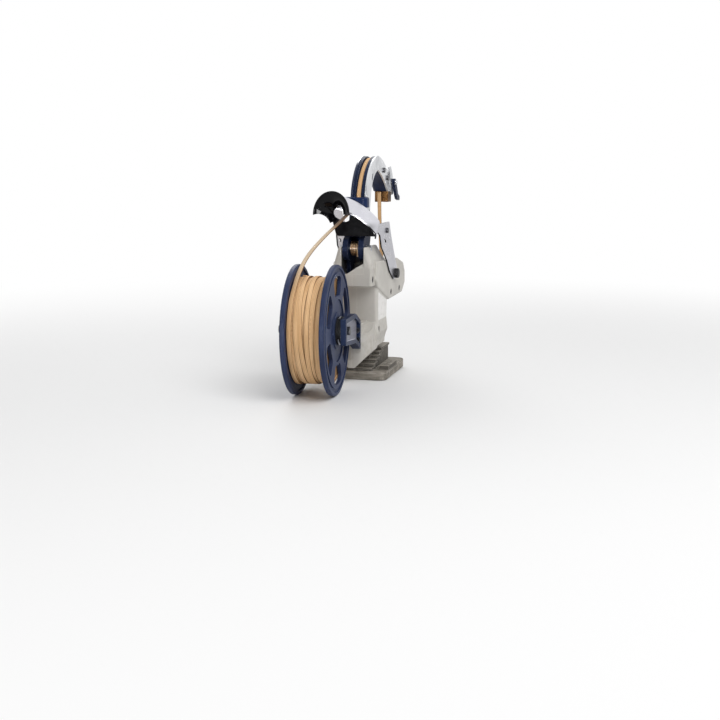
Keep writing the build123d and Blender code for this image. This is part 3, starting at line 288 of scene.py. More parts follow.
def kraft_paper(name, low, high, pale, bleach_and_guide_shade):
    paper = Finish(name, specular_ior_level=0.25)
    along = paper.node("ShaderNodeAttribute", {"attribute_name": "along"}, output="Fac")
    across = paper.node("ShaderNodeAttribute", {"attribute_name": "across"}, output="Fac")
    strand = paper.node("ShaderNodeCombineXYZ", {}, {0: along * 45, 1: across * 4, 2: 0.37})
    weave = {"Vector": strand, "Scale": 6.0, "Detail": 5.0, "Roughness": 0.65}
    fibre = paper.node("ShaderNodeTexNoise", {}, weave)
    patch_at = paper.node("ShaderNodeCombineXYZ", {}, {0: along * 14, 1: 0.0, 2: 0.0})
    patch = paper.node("ShaderNodeTexNoise", {}, {"Vector": patch_at, "Scale": 1.3, "Detail": 2.0})
    from_middle = abs(across * 2)
    band_edge_shade = from_middle.ramp(0.76, 1.0)
    crease_shade = abs(from_middle - CREASE_AT).ramp(0.12, 0.02)
    wire = 1.0 - from_middle.ramp(0.0, 0.35)
    tan = paper.mix(patch.ramp(0.3, 0.7), low, high)
    tan = paper.mix(fibre.ramp(0.48, 0.75) * 0.5, tan, pale)
    tan = paper.mix(along.ramp(0.0, PALE_AFTER) * bleach_and_guide_shade, tan, rgb(0.61, 0.51, 0.375))
    # Painted shade: the free ribbon is painted dark where it passes under the guide.
    tan = paper.mix(along.ramp(GUIDE_FROM, GUIDE_TO) * bleach_and_guide_shade, tan, rgb(0.19, 0.13, 0.095))
    # Painted shade: dark lines along each band's edges and at the two creases beside the wire.
    tan = paper.mix(band_edge_shade * 0.92 + crease_shade * 0.42, tan, rgb(0.2, 0.095, 0.035))
    paper.feed(base_color=tan, roughness=0.62 + 0.2 * fibre)
    paper.bump(fibre * 0.5 + wire * 0.4, 0.25, 0.0003)
    return paper


KRAFT_TONES = rgb(0.67, 0.395, 0.185), rgb(0.87, 0.57, 0.31), rgb(0.89, 0.67, 0.42)
# A darker copy of the kraft for the pack's edges: painted shade behind the flanges.
PACK_SHADE_TONES = rgb(0.27, 0.15, 0.065), rgb(0.40, 0.235, 0.11), rgb(0.46, 0.30, 0.16)
kraft = kraft_paper("kraft ribbon", *KRAFT_TONES, 0.0)
free_kraft = kraft_paper("bleached free ribbon, shaded at the guide", *KRAFT_TONES, 0.85)
shaded_kraft = kraft_paper("packed edges in painted shade", *PACK_SHADE_TONES, 0.0)
print("made", kraft.material.name, free_kraft.material.name, shaded_kraft.material.name)

# %% [markdown]
# ## Navy paint
#
# The bracket, the arm's core and the finger wear a dark blue powder coat: a slight orange-peel skin
# with little gloss. Corners are knocked back to grey primer. The bracket's pocket is bare zinc,
# which the shader finds from the distance along the axle, so the solid needs no second material.
# Below the axle the bracket's upward faces are painted near white, a painted highlight.

# %% Navy powder coat
AXLE = Vector((math.cos(CANT), math.sin(CANT), 0.0))
POCKET_FACE = 29.0 * MM
POCKET_FADE = 0.4 * MM
SHELF_HIGHLIGHT_FADE = 4 * MM


def navy_paint(name, low, high, pocket):
    paint = Finish(name, coat_weight=0.05, coat_roughness=0.12, specular_ior_level=0.1)
    mottle = paint.noise(60, 4)
    chip = paint.edge(0.0008) * paint.noise(900, 4).ramp(0.42, 0.6)
    colour = paint.mix(mottle.ramp(0.3, 0.7), low, high)
    colour = paint.mix(chip * 0.7, colour, rgb(0.30, 0.32, 0.36))
    rough = 0.36 + 0.12 * mottle
    if pocket:
        x, y, z = paint.spot()
        nx, ny, nz = paint.facing()
        depth = (x - HUB.x) * AXLE.x + (y - HUB.y) * AXLE.y
        outward = nx * AXLE.x + ny * AXLE.y
        bare = outward.ramp(0.6, 0.9) * depth.ramp(POCKET_FACE, POCKET_FACE - POCKET_FADE)
        streak = paint.noise(500, 4, (1, 0.08, 1))
        zinc = paint.mix(streak.ramp(0.3, 0.7), rgb(0.13, 0.135, 0.19), rgb(0.22, 0.225, 0.29))
        colour = paint.mix(bare, colour, zinc)
        # Painted highlight: upward faces below the axle are painted near white.
        shelf_highlight = nz.ramp(0.55, 0.85) * z.ramp(HUB.z, HUB.z - SHELF_HIGHLIGHT_FADE)
        colour = paint.mix(shelf_highlight, colour, rgb(0.72, 0.73, 0.78))
        rough = rough - 0.08 * bare
        paint.feed(metallic=bare * 0.85)
    paint.feed(base_color=colour, roughness=rough)
    paint.bump(paint.noise(850, 2), 0.1, 0.0003)
    return paint


NAVY = rgb(0.007, 0.013, 0.036), rgb(0.013, 0.021, 0.054)
BRACKET_BLUE = rgb(0.010, 0.018, 0.05), rgb(0.018, 0.03, 0.075)
COLLAR_BLUE = rgb(0.007, 0.016, 0.055), rgb(0.012, 0.025, 0.078)
navy = navy_paint("navy powder coat", *NAVY, False)
bracket_navy = navy_paint("navy bracket with zinc pocket", *BRACKET_BLUE, True)
collar_blue = navy_paint("blue arm collar", *COLLAR_BLUE, False)
print("made navy paints")

# %% [markdown]
# ## Bright metals
#
# The guide is polished sheet and the arm's plates are brushed. Both are metal with a varying
# roughness: long fine streaks for the brushing, soft clouds where hands have dulled the polish. The
# cut edges of the guide's legs are painted nearly black as painted shade, and the left plate's rear
# edge is painted with the core, up to the arm's top.

# %% Polished and brushed steel
LEG_SHADE_TOP = 156 * MM
LEG_SHADE_FULL = 150 * MM
PAINT_TOP = 212.5 * MM
PAINT_FULL = 208.5 * MM
polish = Finish("polished guide sheet", metallic=1.0)
dull = polish.noise(26, 5)
fine = polish.noise(700, 4, (1, 0.15, 0.6))
sideways = abs(polish.facing()[0])
# Painted shade: the sheet's cut edges low on the legs are painted nearly black.
leg_edge_shade = sideways.ramp(0.75, 0.5) * polish.spot()[2].ramp(LEG_SHADE_TOP, LEG_SHADE_FULL)
sheet = polish.mix(dull.ramp(0.4, 0.75), rgb(0.71, 0.71, 0.755), rgb(0.54, 0.54, 0.59))
polish.feed(base_color=polish.mix(leg_edge_shade, sheet, rgb(0.018, 0.018, 0.02)))
polish.feed(roughness=dull.ramp(0.3, 0.75, 0.2, 0.34) + 0.06 * fine + 0.25 * leg_edge_shade)
polish.bump(fine, 0.012, 0.0002)


def brushed_steel(name, painted_rear):
    steel = Finish(name, metallic=1.0)
    lines = steel.noise(900, 5, (1, 0.12, 0.12))
    stain = steel.noise(55, 4)
    nick = steel.edge(0.0006)
    metal = steel.mix(stain.ramp(0.4, 0.75), rgb(0.72, 0.73, 0.75), rgb(0.52, 0.53, 0.55))
    metal = steel.mix(nick * 0.4, metal, rgb(0.92, 0.92, 0.93))
    if painted_rear:
        nx, ny = steel.facing()[:2]
        rear = abs(nx).ramp(0.75, 0.5) * ny.ramp(-0.25, -0.6)
        paint = rear * steel.spot()[2].ramp(PAINT_TOP, PAINT_FULL)
        metal = steel.mix(paint, metal, rgb(0.012, 0.02, 0.052))
        steel.feed(metallic=1.0 - paint)
    steel.feed(base_color=metal, roughness=0.2 + 0.16 * lines + 0.1 * stain)
    steel.bump(lines, 0.06, 0.0002)
    return steel


brushed = brushed_steel("brushed steel", False)
plate_steel = brushed_steel("plate with a painted rear edge", True)
print("made", polish.material.name, "and", brushed.material.name)

# %% [markdown]
# ## Small metals
#
# One function serves the lesser metals, which differ in colour, gloss and tarnish: oiled bronze on
# the tip, copper-coloured spring wire, blackened screws and axle, and the foil round the cells.


# %% Tarnished metal
def tarnished(name, clean, dark, rough, amount):
    metal = Finish(name, metallic=1.0)
    blotch = metal.noise(180, 6, rough=0.65)
    worn = metal.edge(0.0005)
    colour = metal.mix(blotch.ramp(0.4, 0.72) * amount, clean, dark)
    metal.feed(base_color=metal.mix(worn * 0.5, colour, clean))
    metal.feed(roughness=rough + 0.22 * blotch - 0.08 * worn)
    metal.bump(metal.noise(1600, 3), 0.08, 0.0002)
    return metal


bronze = tarnished("oiled bronze", rgb(0.19, 0.095, 0.036), rgb(0.06, 0.028, 0.012), 0.3, 0.9)
copper = tarnished("copper spring wire", rgb(0.60, 0.41, 0.25), rgb(0.14, 0.085, 0.045), 0.34, 0.8)
blackened = tarnished(
    "blackened screw steel", rgb(0.10, 0.10, 0.11), rgb(0.02, 0.02, 0.022), 0.28, 0.8
)
foil = tarnished("cell foil", rgb(0.70, 0.71, 0.73), rgb(0.42, 0.43, 0.46), 0.28, 0.6)
print("made", [metal.material.name for metal in (bronze, copper, blackened, foil)])

# %% [markdown]
# ## Black plastics
#
# The trumpet and the panel under the guide are gloss black, so they are mostly reflection: what
# tells is the swirl of fine scratches in the gloss. Knobs, trigger and collar are the satin kind,
# with a pebble grain.


# %% Gloss and satin black
def gloss_black(name, coat, specular, smooth, worn):
    black = Finish(name, coat_weight=coat, specular_ior_level=specular)
    black.feed(coat_roughness=0.03)
    swirl = black.noise(210, 6, (1, 0.3, 1), rough=0.7)
    scratch = swirl.ramp(0.5, 0.8) * 0.5
    tone = black.mix(scratch, rgb(0.003, 0.003, 0.004), rgb(0.011, 0.011, 0.013))
    black.feed(base_color=tone, roughness=swirl.ramp(0.35, 0.75, smooth, worn))
    black.bump(black.noise(90, 2), 0.03, 0.001)
    return black


gloss = gloss_black("gloss black panel", coat=0.04, specular=0.08, smooth=0.12, worn=0.28)
horn = gloss_black("gloss black horn", coat=0.22, specular=0.06, smooth=0.08, worn=0.16)

satin = Finish("satin black plastic", specular_ior_level=0.25)
pebble = satin.noise(1500, 3)
shine = satin.edge(0.0008)
bloom = satin.noise(70, 4)
dark = satin.mix(bloom.ramp(0.4, 0.75), rgb(0.008, 0.008, 0.009), rgb(0.019, 0.019, 0.021))
satin.feed(base_color=satin.mix(shine * 0.4, dark, rgb(0.075, 0.075, 0.08)))
satin.feed(roughness=0.4 + 0.16 * bloom - 0.1 * shine)
satin.bump(pebble, 0.2, 0.0002)
print("made", gloss.material.name, "and", satin.material.name)

# %% [markdown]
# ## Weathered foot
#
# The battery foot takes the mud. Its grey-brown plastic is streaked along the steps and pale on the
# noses that rub. The risers between the steps are painted nearly black as painted shade.

# %% Foot plastic and circuit board
PLATE_TOP = 8.5 * MM
foot = Finish("weathered foot plastic", specular_ior_level=0.3)
streaks = foot.noise(240, 6, (0.18, 1, 1), rough=0.7)
clods = foot.noise(75, 5)
nose = foot.edge(0.001)
earth = foot.mix(streaks.ramp(0.35, 0.7), rgb(0.15, 0.135, 0.112), rgb(0.33, 0.30, 0.26))
earth = foot.mix(clods.ramp(0.5, 0.72) * 0.6, earth, rgb(0.085, 0.072, 0.056))
# Painted shade: faces that don't look up, above the base plate, are painted nearly black.
riser_shade = foot.facing()[2].ramp(0.8, 0.4) * foot.spot()[2].ramp(PLATE_TOP, PLATE_TOP + MM)
earth = foot.mix(riser_shade * 0.7, earth, rgb(0.034, 0.03, 0.025))
foot.feed(base_color=foot.mix(nose * 0.6, earth, rgb(0.52, 0.49, 0.44)))
foot.feed(roughness=0.6 + 0.2 * clods)
foot.bump(streaks + foot.noise(900, 3) * 0.5, 0.3, 0.0005)

board = Finish("circuit board", coat_weight=0.3, coat_roughness=0.2)
trace = board.noise(420, 2).ramp(0.52, 0.56)
board.feed(base_color=board.mix(trace, rgb(0.01, 0.09, 0.035), rgb(0.03, 0.19, 0.075)))
board.feed(roughness=0.3 + 0.1 * trace)
print("made", foot.material.name, "and", board.material.name)

# %% [markdown]
# ## Dressing the solids
#
# Each CAD node keeps its mesh and its place and only takes a finish. The record already says which
# slot each node belongs to, so most nodes follow their slot, and a few named ones differ.

# %% Finishes on the CAD nodes
SLOT_FINISH = {
    "housing": housing, "label": film, "spool": slate, "paper": kraft, "black": satin, "blue": navy,
    "bright": polish, "gloss": gloss, "steel": brushed, "screw": blackened, "bronze": bronze,
    "copper": copper, "board": board, "foot": foot, "cell": foil,
}
NODE_FINISH = {
    "spool_bracket": bracket_navy, "arm_collar": collar_blue, "guide_rivets": blackened,
    "arm_plate_left": plate_steel, "guide_trumpet": horn, "spool_axle": blackened,
}
for part in frame["record"]["subparts"]:
    finish = NODE_FINISH.get(part["node"], SLOT_FINISH[part["material_slot"]])
    node = frame["nodes"][part["node"]]
    node.data.materials.clear()
    node.data.materials.append(finish.material)

# %% [markdown]
# ## A tree that lays a strip along a path
#
# Ribbon and wire are the same job: carry a small outline along a curve. Geometry Nodes does it with
# Curve to Mesh, and the tree stores two attributes on the way, the length along the path and the
# place across the outline. The curve's twist is Z-up, which keeps a ribbon's width level.


# %% Tree helpers
def new_tree(name, inputs):
    tree = bpy.data.node_groups.new(name, "GeometryNodeTree")
    tree.interface.new_socket("Geometry", in_out="OUTPUT", socket_type="NodeSocketGeometry")
    tree.interface.new_socket("Geometry", in_out="INPUT", socket_type="NodeSocketGeometry")
    for label, kind in inputs:
        tree.interface.new_socket(label, in_out="INPUT", socket_type=kind)
    start = tree.nodes.new("NodeGroupInput")
    end = tree.nodes.new("NodeGroupOutput")

    def add(kind, settings=None, sockets=None):
        made = tree.nodes.new(kind)
        for key, setting in (settings or {}).items():
            setattr(made, key, setting)
        for key, value in (sockets or {}).items():
            if isinstance(value, bpy.types.NodeSocket):
                tree.links.new(value, made.inputs[key])
            else:
                made.inputs[key].default_value = value
        return made

    def close(mesh, material):
        smooth = add("GeometryNodeSetShadeSmooth", {}, {"Geometry": mesh})
        real = add("GeometryNodeRealizeInstances", {}, {"Geometry": smooth.outputs[0]})
        sockets = {"Geometry": real.outputs[0], "Material": material}
        dressed = add("GeometryNodeSetMaterial", {}, sockets)
        tree.links.new(dressed.outputs[0], end.inputs[0])

    return tree, start, add, close


def stored(add, geometry, name, value):
    settings = {"data_type": "FLOAT", "domain": "POINT"}
    sockets = {"Geometry": geometry, "Name": name, "Value": value}
    return add("GeometryNodeStoreNamedAttribute", settings, sockets).outputs[0]


def maths(add, operation, first, second):
    return add("ShaderNodeMath", {"operation": operation}, {0: first, 1: second}).outputs[0]


def across_share(add, outline, width):
    place = add("GeometryNodeInputPosition").outputs[0]
    sideways = add("ShaderNodeSeparateXYZ", {}, {0: place}).outputs["X"]
    return stored(add, outline, "across", maths(add, "DIVIDE", sideways, width))


def swept(add, path, outline):
    sockets = {"Curve": path, "Profile Curve": outline, "Fill Caps": True}
    return add("GeometryNodeCurveToMesh", {}, sockets).outputs[0]


print("tree helpers ready")

# %% Strip tree
FLOAT, MATERIAL = "NodeSocketFloat", "NodeSocketMaterial"
ROUND_SHARE = 0.32
ROUND_STEPS = 2
STRIP_SIZES = [("Width", FLOAT), ("Thickness", FLOAT), ("Finish", MATERIAL)]
strip_tree, start, add, close = new_tree("strip on a path", STRIP_SIZES)
run = add("GeometryNodeSplineParameter").outputs["Length"]
path = stored(add, start.outputs["Geometry"], "along", run)
size = {"Width": start.outputs["Width"], "Height": start.outputs["Thickness"]}
outline = add("GeometryNodeCurvePrimitiveQuadrilateral", {"mode": "RECTANGLE"}, size).outputs[0]
rounding = maths(add, "MULTIPLY", start.outputs["Thickness"], ROUND_SHARE)
fillet = {"Curve": outline, "Radius": rounding, "Count": ROUND_STEPS}
outline = add("GeometryNodeFilletCurve", {"mode": "POLY"}, fillet).outputs[0]
outline = across_share(add, outline, start.outputs["Width"])
close(swept(add, path, outline), start.outputs["Finish"])
print("strip tree has", len(strip_tree.nodes), "nodes")


# %% Curves, and turning a tree's result into a plain mesh
def curve_through(name, points, nurbs=True, tilt=0.0):
    data = bpy.data.curves.new(name, "CURVE")
    data.dimensions = "3D"
    data.twist_mode = "Z_UP"
    data.resolution_u = 8
    spline = data.splines.new("NURBS" if nurbs else "POLY")
    spline.points.add(len(points) - 1)
    for spot, point in zip(spline.points, points):
        spot.co = (*point, 1.0)
        spot.tilt = tilt
    if nurbs:
        spline.order_u = 3
        spline.use_endpoint_u = True
    curve = bpy.data.objects.new(name, data)
    scene.collection.objects.link(curve)
    return curve


def line_of(curve):
    graph = bpy.context.evaluated_depsgraph_get()
    mesh = bpy.data.meshes.new_from_object(curve.evaluated_get(graph))
    points = [v.co.copy() for v in mesh.vertices]
    bpy.data.meshes.remove(mesh)
    return points


def grown(source, tree, values, move=None):
    modifier = source.modifiers.new(tree.name, "NODES")
    modifier.node_group = tree
    for item in tree.interface.items_tree:
        if item.in_out == "INPUT" and item.name in values:
            modifier[item.identifier] = values[item.name]
    graph = bpy.context.evaluated_depsgraph_get()
    mesh = bpy.data.meshes.new_from_object(source.evaluated_get(graph))
    if move:
        mesh.transform(move)
    name = source.name
    source.modifiers.remove(modifier)
    bpy.data.objects.remove(source)
    made = bpy.data.objects.new(name, mesh)
    scene.collection.objects.link(made)
    return made


def length_of(points):
    return sum((b - a).length for a, b in zip(points, points[1:]))


print("curve helpers ready")

# %% [markdown]
# ## The wound ribbon
#
# A spool is filled by a guide that wanders from side to side, so the turns are uneven: they cross
# at shallow angles and leave dark slits. A texture would look flat here because the slits are deep.
# Instead three passes of real ribbon are laid, each a helix whose sideways place drifts with a
# fixed random seed, and a last turn ends where the free ribbon leaves. A quarter turn of tilt lays
# each band flat on the spool.

# %% One pass of ribbon
RIBBON_W = 4.2 * MM
RIBBON_T = 0.9 * MM
HALF_LAY = 16.6 * MM
SEAT_R = 46.9 * MM
SIDE_MOST = HALF_LAY - RIBBON_W / 2 - 0.3 * MM
FLAT = math.pi / 2
KNOTS_PER_TURN = 3
STEPS_PER_TURN = 72
RIPPLE = 0.2 * MM
RIPPLES_PER_TURN = 5
spool_place = Matrix.Translation(HUB) @ Matrix(
    ((-AXLE.y, 0, AXLE.x, 0), (AXLE.x, 0, AXLE.y, 0), (0, 1, 0, 0), (0, 0, 0, 1))
)
random.seed(11)


def pass_points(radius, first, last, turns, dwell, drift, start_angle):
    whole = turns + 2 * dwell
    knots = [random.uniform(-drift, drift) for _ in range(int(whole * KNOTS_PER_TURN) + 4)]
    points = []
    steps = int(whole * STEPS_PER_TURN)
    for i in range(steps + 1):
        turn = whole * i / steps
        low = int(turn * KNOTS_PER_TURN)
        ease = (1 - math.cos(math.pi * (turn * KNOTS_PER_TURN - low))) / 2
        sway = knots[low] * (1 - ease) + knots[low + 1] * ease
        angle = start_angle + 2 * math.pi * turn
        share = min(1.0, max(0.0, (turn - dwell) / turns))
        side = first + (last - first) * share + sway
        side = max(-SIDE_MOST, min(SIDE_MOST, side))
        reach = radius + RIPPLE * math.sin(RIPPLES_PER_TURN * angle + radius * 9e4)
        points.append((reach * math.cos(angle), reach * math.sin(angle), side))
    return points


print("a band may lie", round(SIDE_MOST / MM, 1), "mm to each side")

# %% Passes of ribbon round the spool
LEAVES_AT = math.radians(138.8)
LEAVES_R = 49.8 * MM
LEAVES_SIDE = -13.9 * MM
LAST_STEPS = 60
LAST_STEP = math.radians(5)
SETTLE_STEPS = 20
SETTLE = 0.2 * MM
SIDE_STEP = 0.02 * MM
last_turn = []
for i in range(LAST_STEPS + 1):
    angle = LEAVES_AT + LAST_STEP * i
    reach = LEAVES_R - SETTLE * min(1.0, i / SETTLE_STEPS)
    side = LEAVES_SIDE + SIDE_STEP * i
    last_turn.append((reach * math.cos(angle), reach * math.sin(angle), side))
passes = [
    pass_points(SEAT_R + 0.5 * MM, -SIDE_MOST, SIDE_MOST, 6.6, 0.6, 0.15 * MM, 0.0),
    pass_points(SEAT_R + 1.3 * MM, SIDE_MOST, -SIDE_MOST, 6.2, 0.6, 1.9 * MM, 0.7),
    pass_points(SEAT_R + 2.1 * MM, -9.0 * MM, SIDE_MOST, 3.4, 0.3, 2.8 * MM, 2.1),
    last_turn,
]
ribbon = {"Width": RIBBON_W, "Thickness": RIBBON_T}
layers = []
for i, points in enumerate(passes):
    layer = curve_through(f"wound_pass_{i + 1}", points, nurbs=False, tilt=FLAT)
    layers.append(grown(layer, strip_tree, {**ribbon, "Finish": kraft.material}, spool_place))
print("wound passes:", [len(layer.data.polygons) for layer in layers])

# %% [markdown]
# ## The pack under the top turns
#
# Through the kidney windows the sides of the pack show hundreds of paper edges. One flat spiral of
# ribbon at each side gives those edges, and a plain drum fills the middle, where nothing is seen.
# The tree draws the spiral with Spiral, shakes it a little sideways and sweeps a thin outline along
# it.

# %% Pack tree
PACK_SIZES = [
    ("Inner radius", FLOAT), ("Outer radius", FLOAT), ("Half width", FLOAT),
    ("Turns", FLOAT), ("Shake", FLOAT), ("Finish", MATERIAL),
]
PACK_STEPS = 56
DRUM_SIDES = 96
BAND_W = 2.6 * MM
BAND_T = 0.74 * MM
BAND_SPREAD = 3.2 * MM
BAND_INSET = 1.6 * MM
pack_tree, start, add, close = new_tree("packed ribbon", PACK_SIZES)
spiral = {
    "Resolution": PACK_STEPS, "Rotations": start.outputs["Turns"], "Height": 0.0,
    "Start Radius": start.outputs["Inner radius"], "End Radius": start.outputs["Outer radius"],
}
spiral = add("GeometryNodeCurveSpiral", {}, spiral).outputs[0]
spiral = stored(add, spiral, "along", add("GeometryNodeSplineParameter").outputs["Length"])
unrest = {"Scale": 420.0, "Detail": 2.0}
flicker = add("ShaderNodeTexNoise", {"noise_dimensions": "3D"}, unrest).outputs[0]
shake = maths(add, "SUBTRACT", flicker, 0.5)
shake = maths(add, "MULTIPLY", shake, start.outputs["Shake"])
offset = add("ShaderNodeCombineXYZ", {}, {2: shake}).outputs[0]
spiral = add("GeometryNodeSetPosition", {}, {"Geometry": spiral, "Offset": offset}).outputs[0]
spiral = add("GeometryNodeSetCurveNormal", {"mode": "Z_UP"}, {"Curve": spiral}).outputs[0]
spiral = add("GeometryNodeSetCurveTilt", {}, {"Curve": spiral, "Tilt": FLAT}).outputs[0]
size = {"Width": BAND_W, "Height": BAND_T}
outline = add("GeometryNodeCurvePrimitiveQuadrilateral", {"mode": "RECTANGLE"}, size).outputs[0]
edges = swept(add, spiral, across_share(add, outline, BAND_SPREAD))
inset = maths(add, "SUBTRACT", start.outputs["Half width"], BAND_INSET)
both = add("GeometryNodeJoinGeometry")
for sign in (-1.0, 1.0):
    away = maths(add, "MULTIPLY", inset, sign)
    away = add("ShaderNodeCombineXYZ", {}, {2: away}).outputs[0]
    moved = {"Geometry": edges, "Translation": away}
    placed = add("GeometryNodeTransform", {}, moved).outputs[0]
    pack_tree.links.new(placed, both.inputs[0])
depth = maths(add, "MULTIPLY", inset, 2.0)
drum = {"Vertices": DRUM_SIDES, "Radius": start.outputs["Outer radius"], "Depth": depth}
drum = add("GeometryNodeMeshCylinder", {}, drum).outputs[0]
pack_tree.links.new(drum, both.inputs[0])
close(both.outputs[0], start.outputs["Finish"])
print("pack tree has", len(pack_tree.nodes), "nodes")

# %% The pack
blank = bpy.data.objects.new("packed_ribbon", bpy.data.meshes.new("packed_ribbon"))
scene.collection.objects.link(blank)
pack_values = {
    "Inner radius": 17.6 * MM, "Outer radius": SEAT_R - 0.5 * MM,
    "Half width": HALF_LAY - 0.7 * MM, "Turns": 32.0, "Shake": 1.5 * MM,
    "Finish": shaded_kraft.material,
}
pack = grown(blank, pack_tree, pack_values, spool_place)
print("pack:", len(pack.data.polygons), "faces")

# %% The wound pieces ride on the spool
for piece in layers + [pack]:
    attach(piece, "spool")
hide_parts("tie_winding")
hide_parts("tie_pack")
print("spool carries", len(layers) + 1, "paper pieces")

# %% [markdown]
# ## The free ribbon
#
# From the spool the ribbon lifts off, crosses to the trumpet and goes through the panel's eye. It
# is a free cord in the air, so its route is a NURBS curve led by points along the solid's route,
# and the mesh is swept on it.

# %% Feed ribbon
FEED = [
    (-26.9, -153.5, 92.8), (-27.0, -144.0, 103.4), (-26.6, -128.0, 117.6), (-24.2, -108.0, 130.0),
    (-17.6, -82.0, 143.6), (-9.8, -62.0, 154.4), (-4.4, -44.0, 163.6),
]


def routed(name, millimetres, finish):
    curve = curve_through(name, [tuple(c * MM for c in point) for point in millimetres])
    line = line_of(curve)
    piece = grown(curve, strip_tree, {**ribbon, "Finish": finish.material})
    print(name, "length", round(length_of(line) / MM, 1), "mm,", len(piece.data.polygons), "faces")
    return piece, line


feed, feed_line = routed("feed_ribbon", FEED, free_kraft)
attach(feed, "body")
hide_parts("tie_feed")
length_of(feed_line)

# %% [markdown]
# ## Ribbon on the arm
#
# Behind the guide the ribbon crosses to the arm, runs in the groove over its back and drops from
# the tip into the twist head. The piece in the groove rides on the arm. The two ends bend between
# the arm and the body.

# %% Bridge, wrap and drop
BRIDGE = [(-4.1, -42.6, 164.2), (-2.0, -36.4, 164.8), (-0.3, -30.8, 167.6), (0.0, -28.9, 174.4)]
bridge, bridge_line = routed("bridge_ribbon", BRIDGE, kraft)
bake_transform(bridge)
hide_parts("tie_bridge")

GROOVE_LINE = [
    (0, -26.2, 174.6), (0, -25.3, 178.6), (0, -24.3, 183), (0, -16.5, 196), (0, -5.5, 206.2),
    (0, 7.5, 213), (0, 21, 215.8), (0, 34, 213.6), (0, 45.5, 209), (0, 57, 202.6),
]
wrap, wrap_line = routed("groove_ribbon", GROOVE_LINE, kraft)
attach(wrap, "arm")
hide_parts("tie_wrap")

DROP = [(-1.5, 63.2, 180), (-1.5, 63.8, 158), (-0.6, 66, 130), (0, 70, 103.5)]
drop, drop_line = routed("drop_ribbon", DROP, kraft)
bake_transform(drop)
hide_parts("tie_loop")

# %% [markdown]
# ## Springs
#
# A torsion spring sits between the arm's cheeks and shows its copper coils in the slot, and a small
# one stands behind the trigger. Both are helices, so a second tree only swaps the flat outline for
# a round wire.

# %% Wire tree and coils
COIL_STEPS = 36
WIRE_SIDES = 12
WIRE_SIZES = [("Radius", FLOAT), ("Finish", MATERIAL)]
wire_tree, start, add, close = new_tree("wire on a path", WIRE_SIZES)
ring = {"Resolution": WIRE_SIDES, "Radius": start.outputs["Radius"]}
ring = add("GeometryNodeCurvePrimitiveCircle", {}, ring).outputs[0]
close(swept(add, start.outputs["Geometry"], ring), start.outputs["Finish"])


def spring_points(radius, pitch, turns, start_angle, lead):
    points = []
    steps = int(turns * COIL_STEPS)
    for i in range(steps + 1):
        angle = start_angle + 2 * math.pi * turns * i / steps
        side = pitch * turns * (i / steps - 0.5)
        points.append(Vector((side, radius * math.cos(angle), radius * math.sin(angle))))
    first = (points[0] - points[1]).normalized() * lead
    last = (points[-1] - points[-2]).normalized() * lead
    return [points[0] + first] + points + [points[-1] + last]


def spring(name, coil, turn, place, wire_r, finish):
    points = [place + turn @ point for point in coil]
    curve = curve_through(name, [tuple(point) for point in points], nurbs=False)
    return grown(curve, wire_tree, {"Radius": wire_r, "Finish": finish.material})


print("wire tree has", len(wire_tree.nodes), "nodes")

# %% Two springs
torsion_coil = spring_points(
    radius=6.5 * MM, pitch=1.75 * MM, turns=4.25, start_angle=math.radians(75), lead=9.5 * MM
)
torsion = spring("torsion_spring", torsion_coil, Matrix.Identity(3), HINGE, 0.65 * MM, copper)
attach(torsion, "body")
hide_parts("return_spring")
low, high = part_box("trigger_spring")
push_coil = spring_points(
    radius=4.0 * MM, pitch=1.7 * MM, turns=5.0, start_angle=0.0, lead=1.2 * MM
)
along_y = Matrix.Rotation(math.radians(90), 3, "Z")
push = spring("push_spring", push_coil, along_y, (low + high) / 2, 0.4 * MM, brushed)
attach(push, "body")
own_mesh(push)
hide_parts("trigger_spring")
print("springs:", len(torsion.data.polygons), len(push.data.polygons), "faces")

# %% [markdown]
# ## Lip of the well
#
# The slot behind the arm ends in a slope: a lip of the housing fills its lower right corner, flush
# with the ledge. It is a small prism, and its upper end leans in with the ledge's chamfer.

# %% Sloped lip
LIP_BACK = -49.95
LIP_FRONT = -41.0
LIP_RIGHT = 11.35
LIP_LEFT = -5.8
LIP_FLOOR = 101.5
CHAMFER_FOOT = 111.0
CHAMFER_HEAD = (LIP_RIGHT, -47.0, 116.0)
LIP_OUTLINE = [
    CHAMFER_HEAD, (LIP_RIGHT, LIP_BACK, CHAMFER_FOOT), (LIP_RIGHT, LIP_BACK, LIP_FLOOR),
    (LIP_LEFT, LIP_BACK, LIP_FLOOR), (LIP_LEFT, LIP_BACK, 105.0), (3.5, LIP_BACK, CHAMFER_FOOT),
]
corners = [Vector(point) * MM for point in LIP_OUTLINE]
corners += [Vector((x, LIP_FRONT, z)) * MM for x, _, z in LIP_OUTLINE]
count = len(LIP_OUTLINE)
faces = [(0, 5, 1), (1, 5, 4, 3, 2), tuple(range(count, 2 * count))]
for i in range(count):
    following = (i + 1) % count
    faces.append((i, following, following + count, i + count))
lip_mesh = bpy.data.meshes.new("well_lip")
lip_mesh.from_pydata([tuple(corner) for corner in corners], [], faces)
solid = bmesh.new()
solid.from_mesh(lip_mesh)
bmesh.ops.recalc_face_normals(solid, faces=solid.faces)
solid.to_mesh(lip_mesh)
solid.free()
lip_mesh.materials.append(housing.material)
lip = bpy.data.objects.new("well_lip", lip_mesh)
scene.collection.objects.link(lip)
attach(lip, "body")
print("lip:", len(lip_mesh.polygons), "faces")

# %% [markdown]
# ## Floor, light and camera
#
# The floor is pale and fades to white, so there is no horizon line. A white world lights softly
# from all round. A large lamp gives the forms a light side, and a smaller one behind picks out
# their edges. In mirrors the world is dim on the camera's side, so gloss black stays black, and one
# soft box there gives it a highlight. The camera stands behind the tool, a little to its right, and
# looks slightly down.

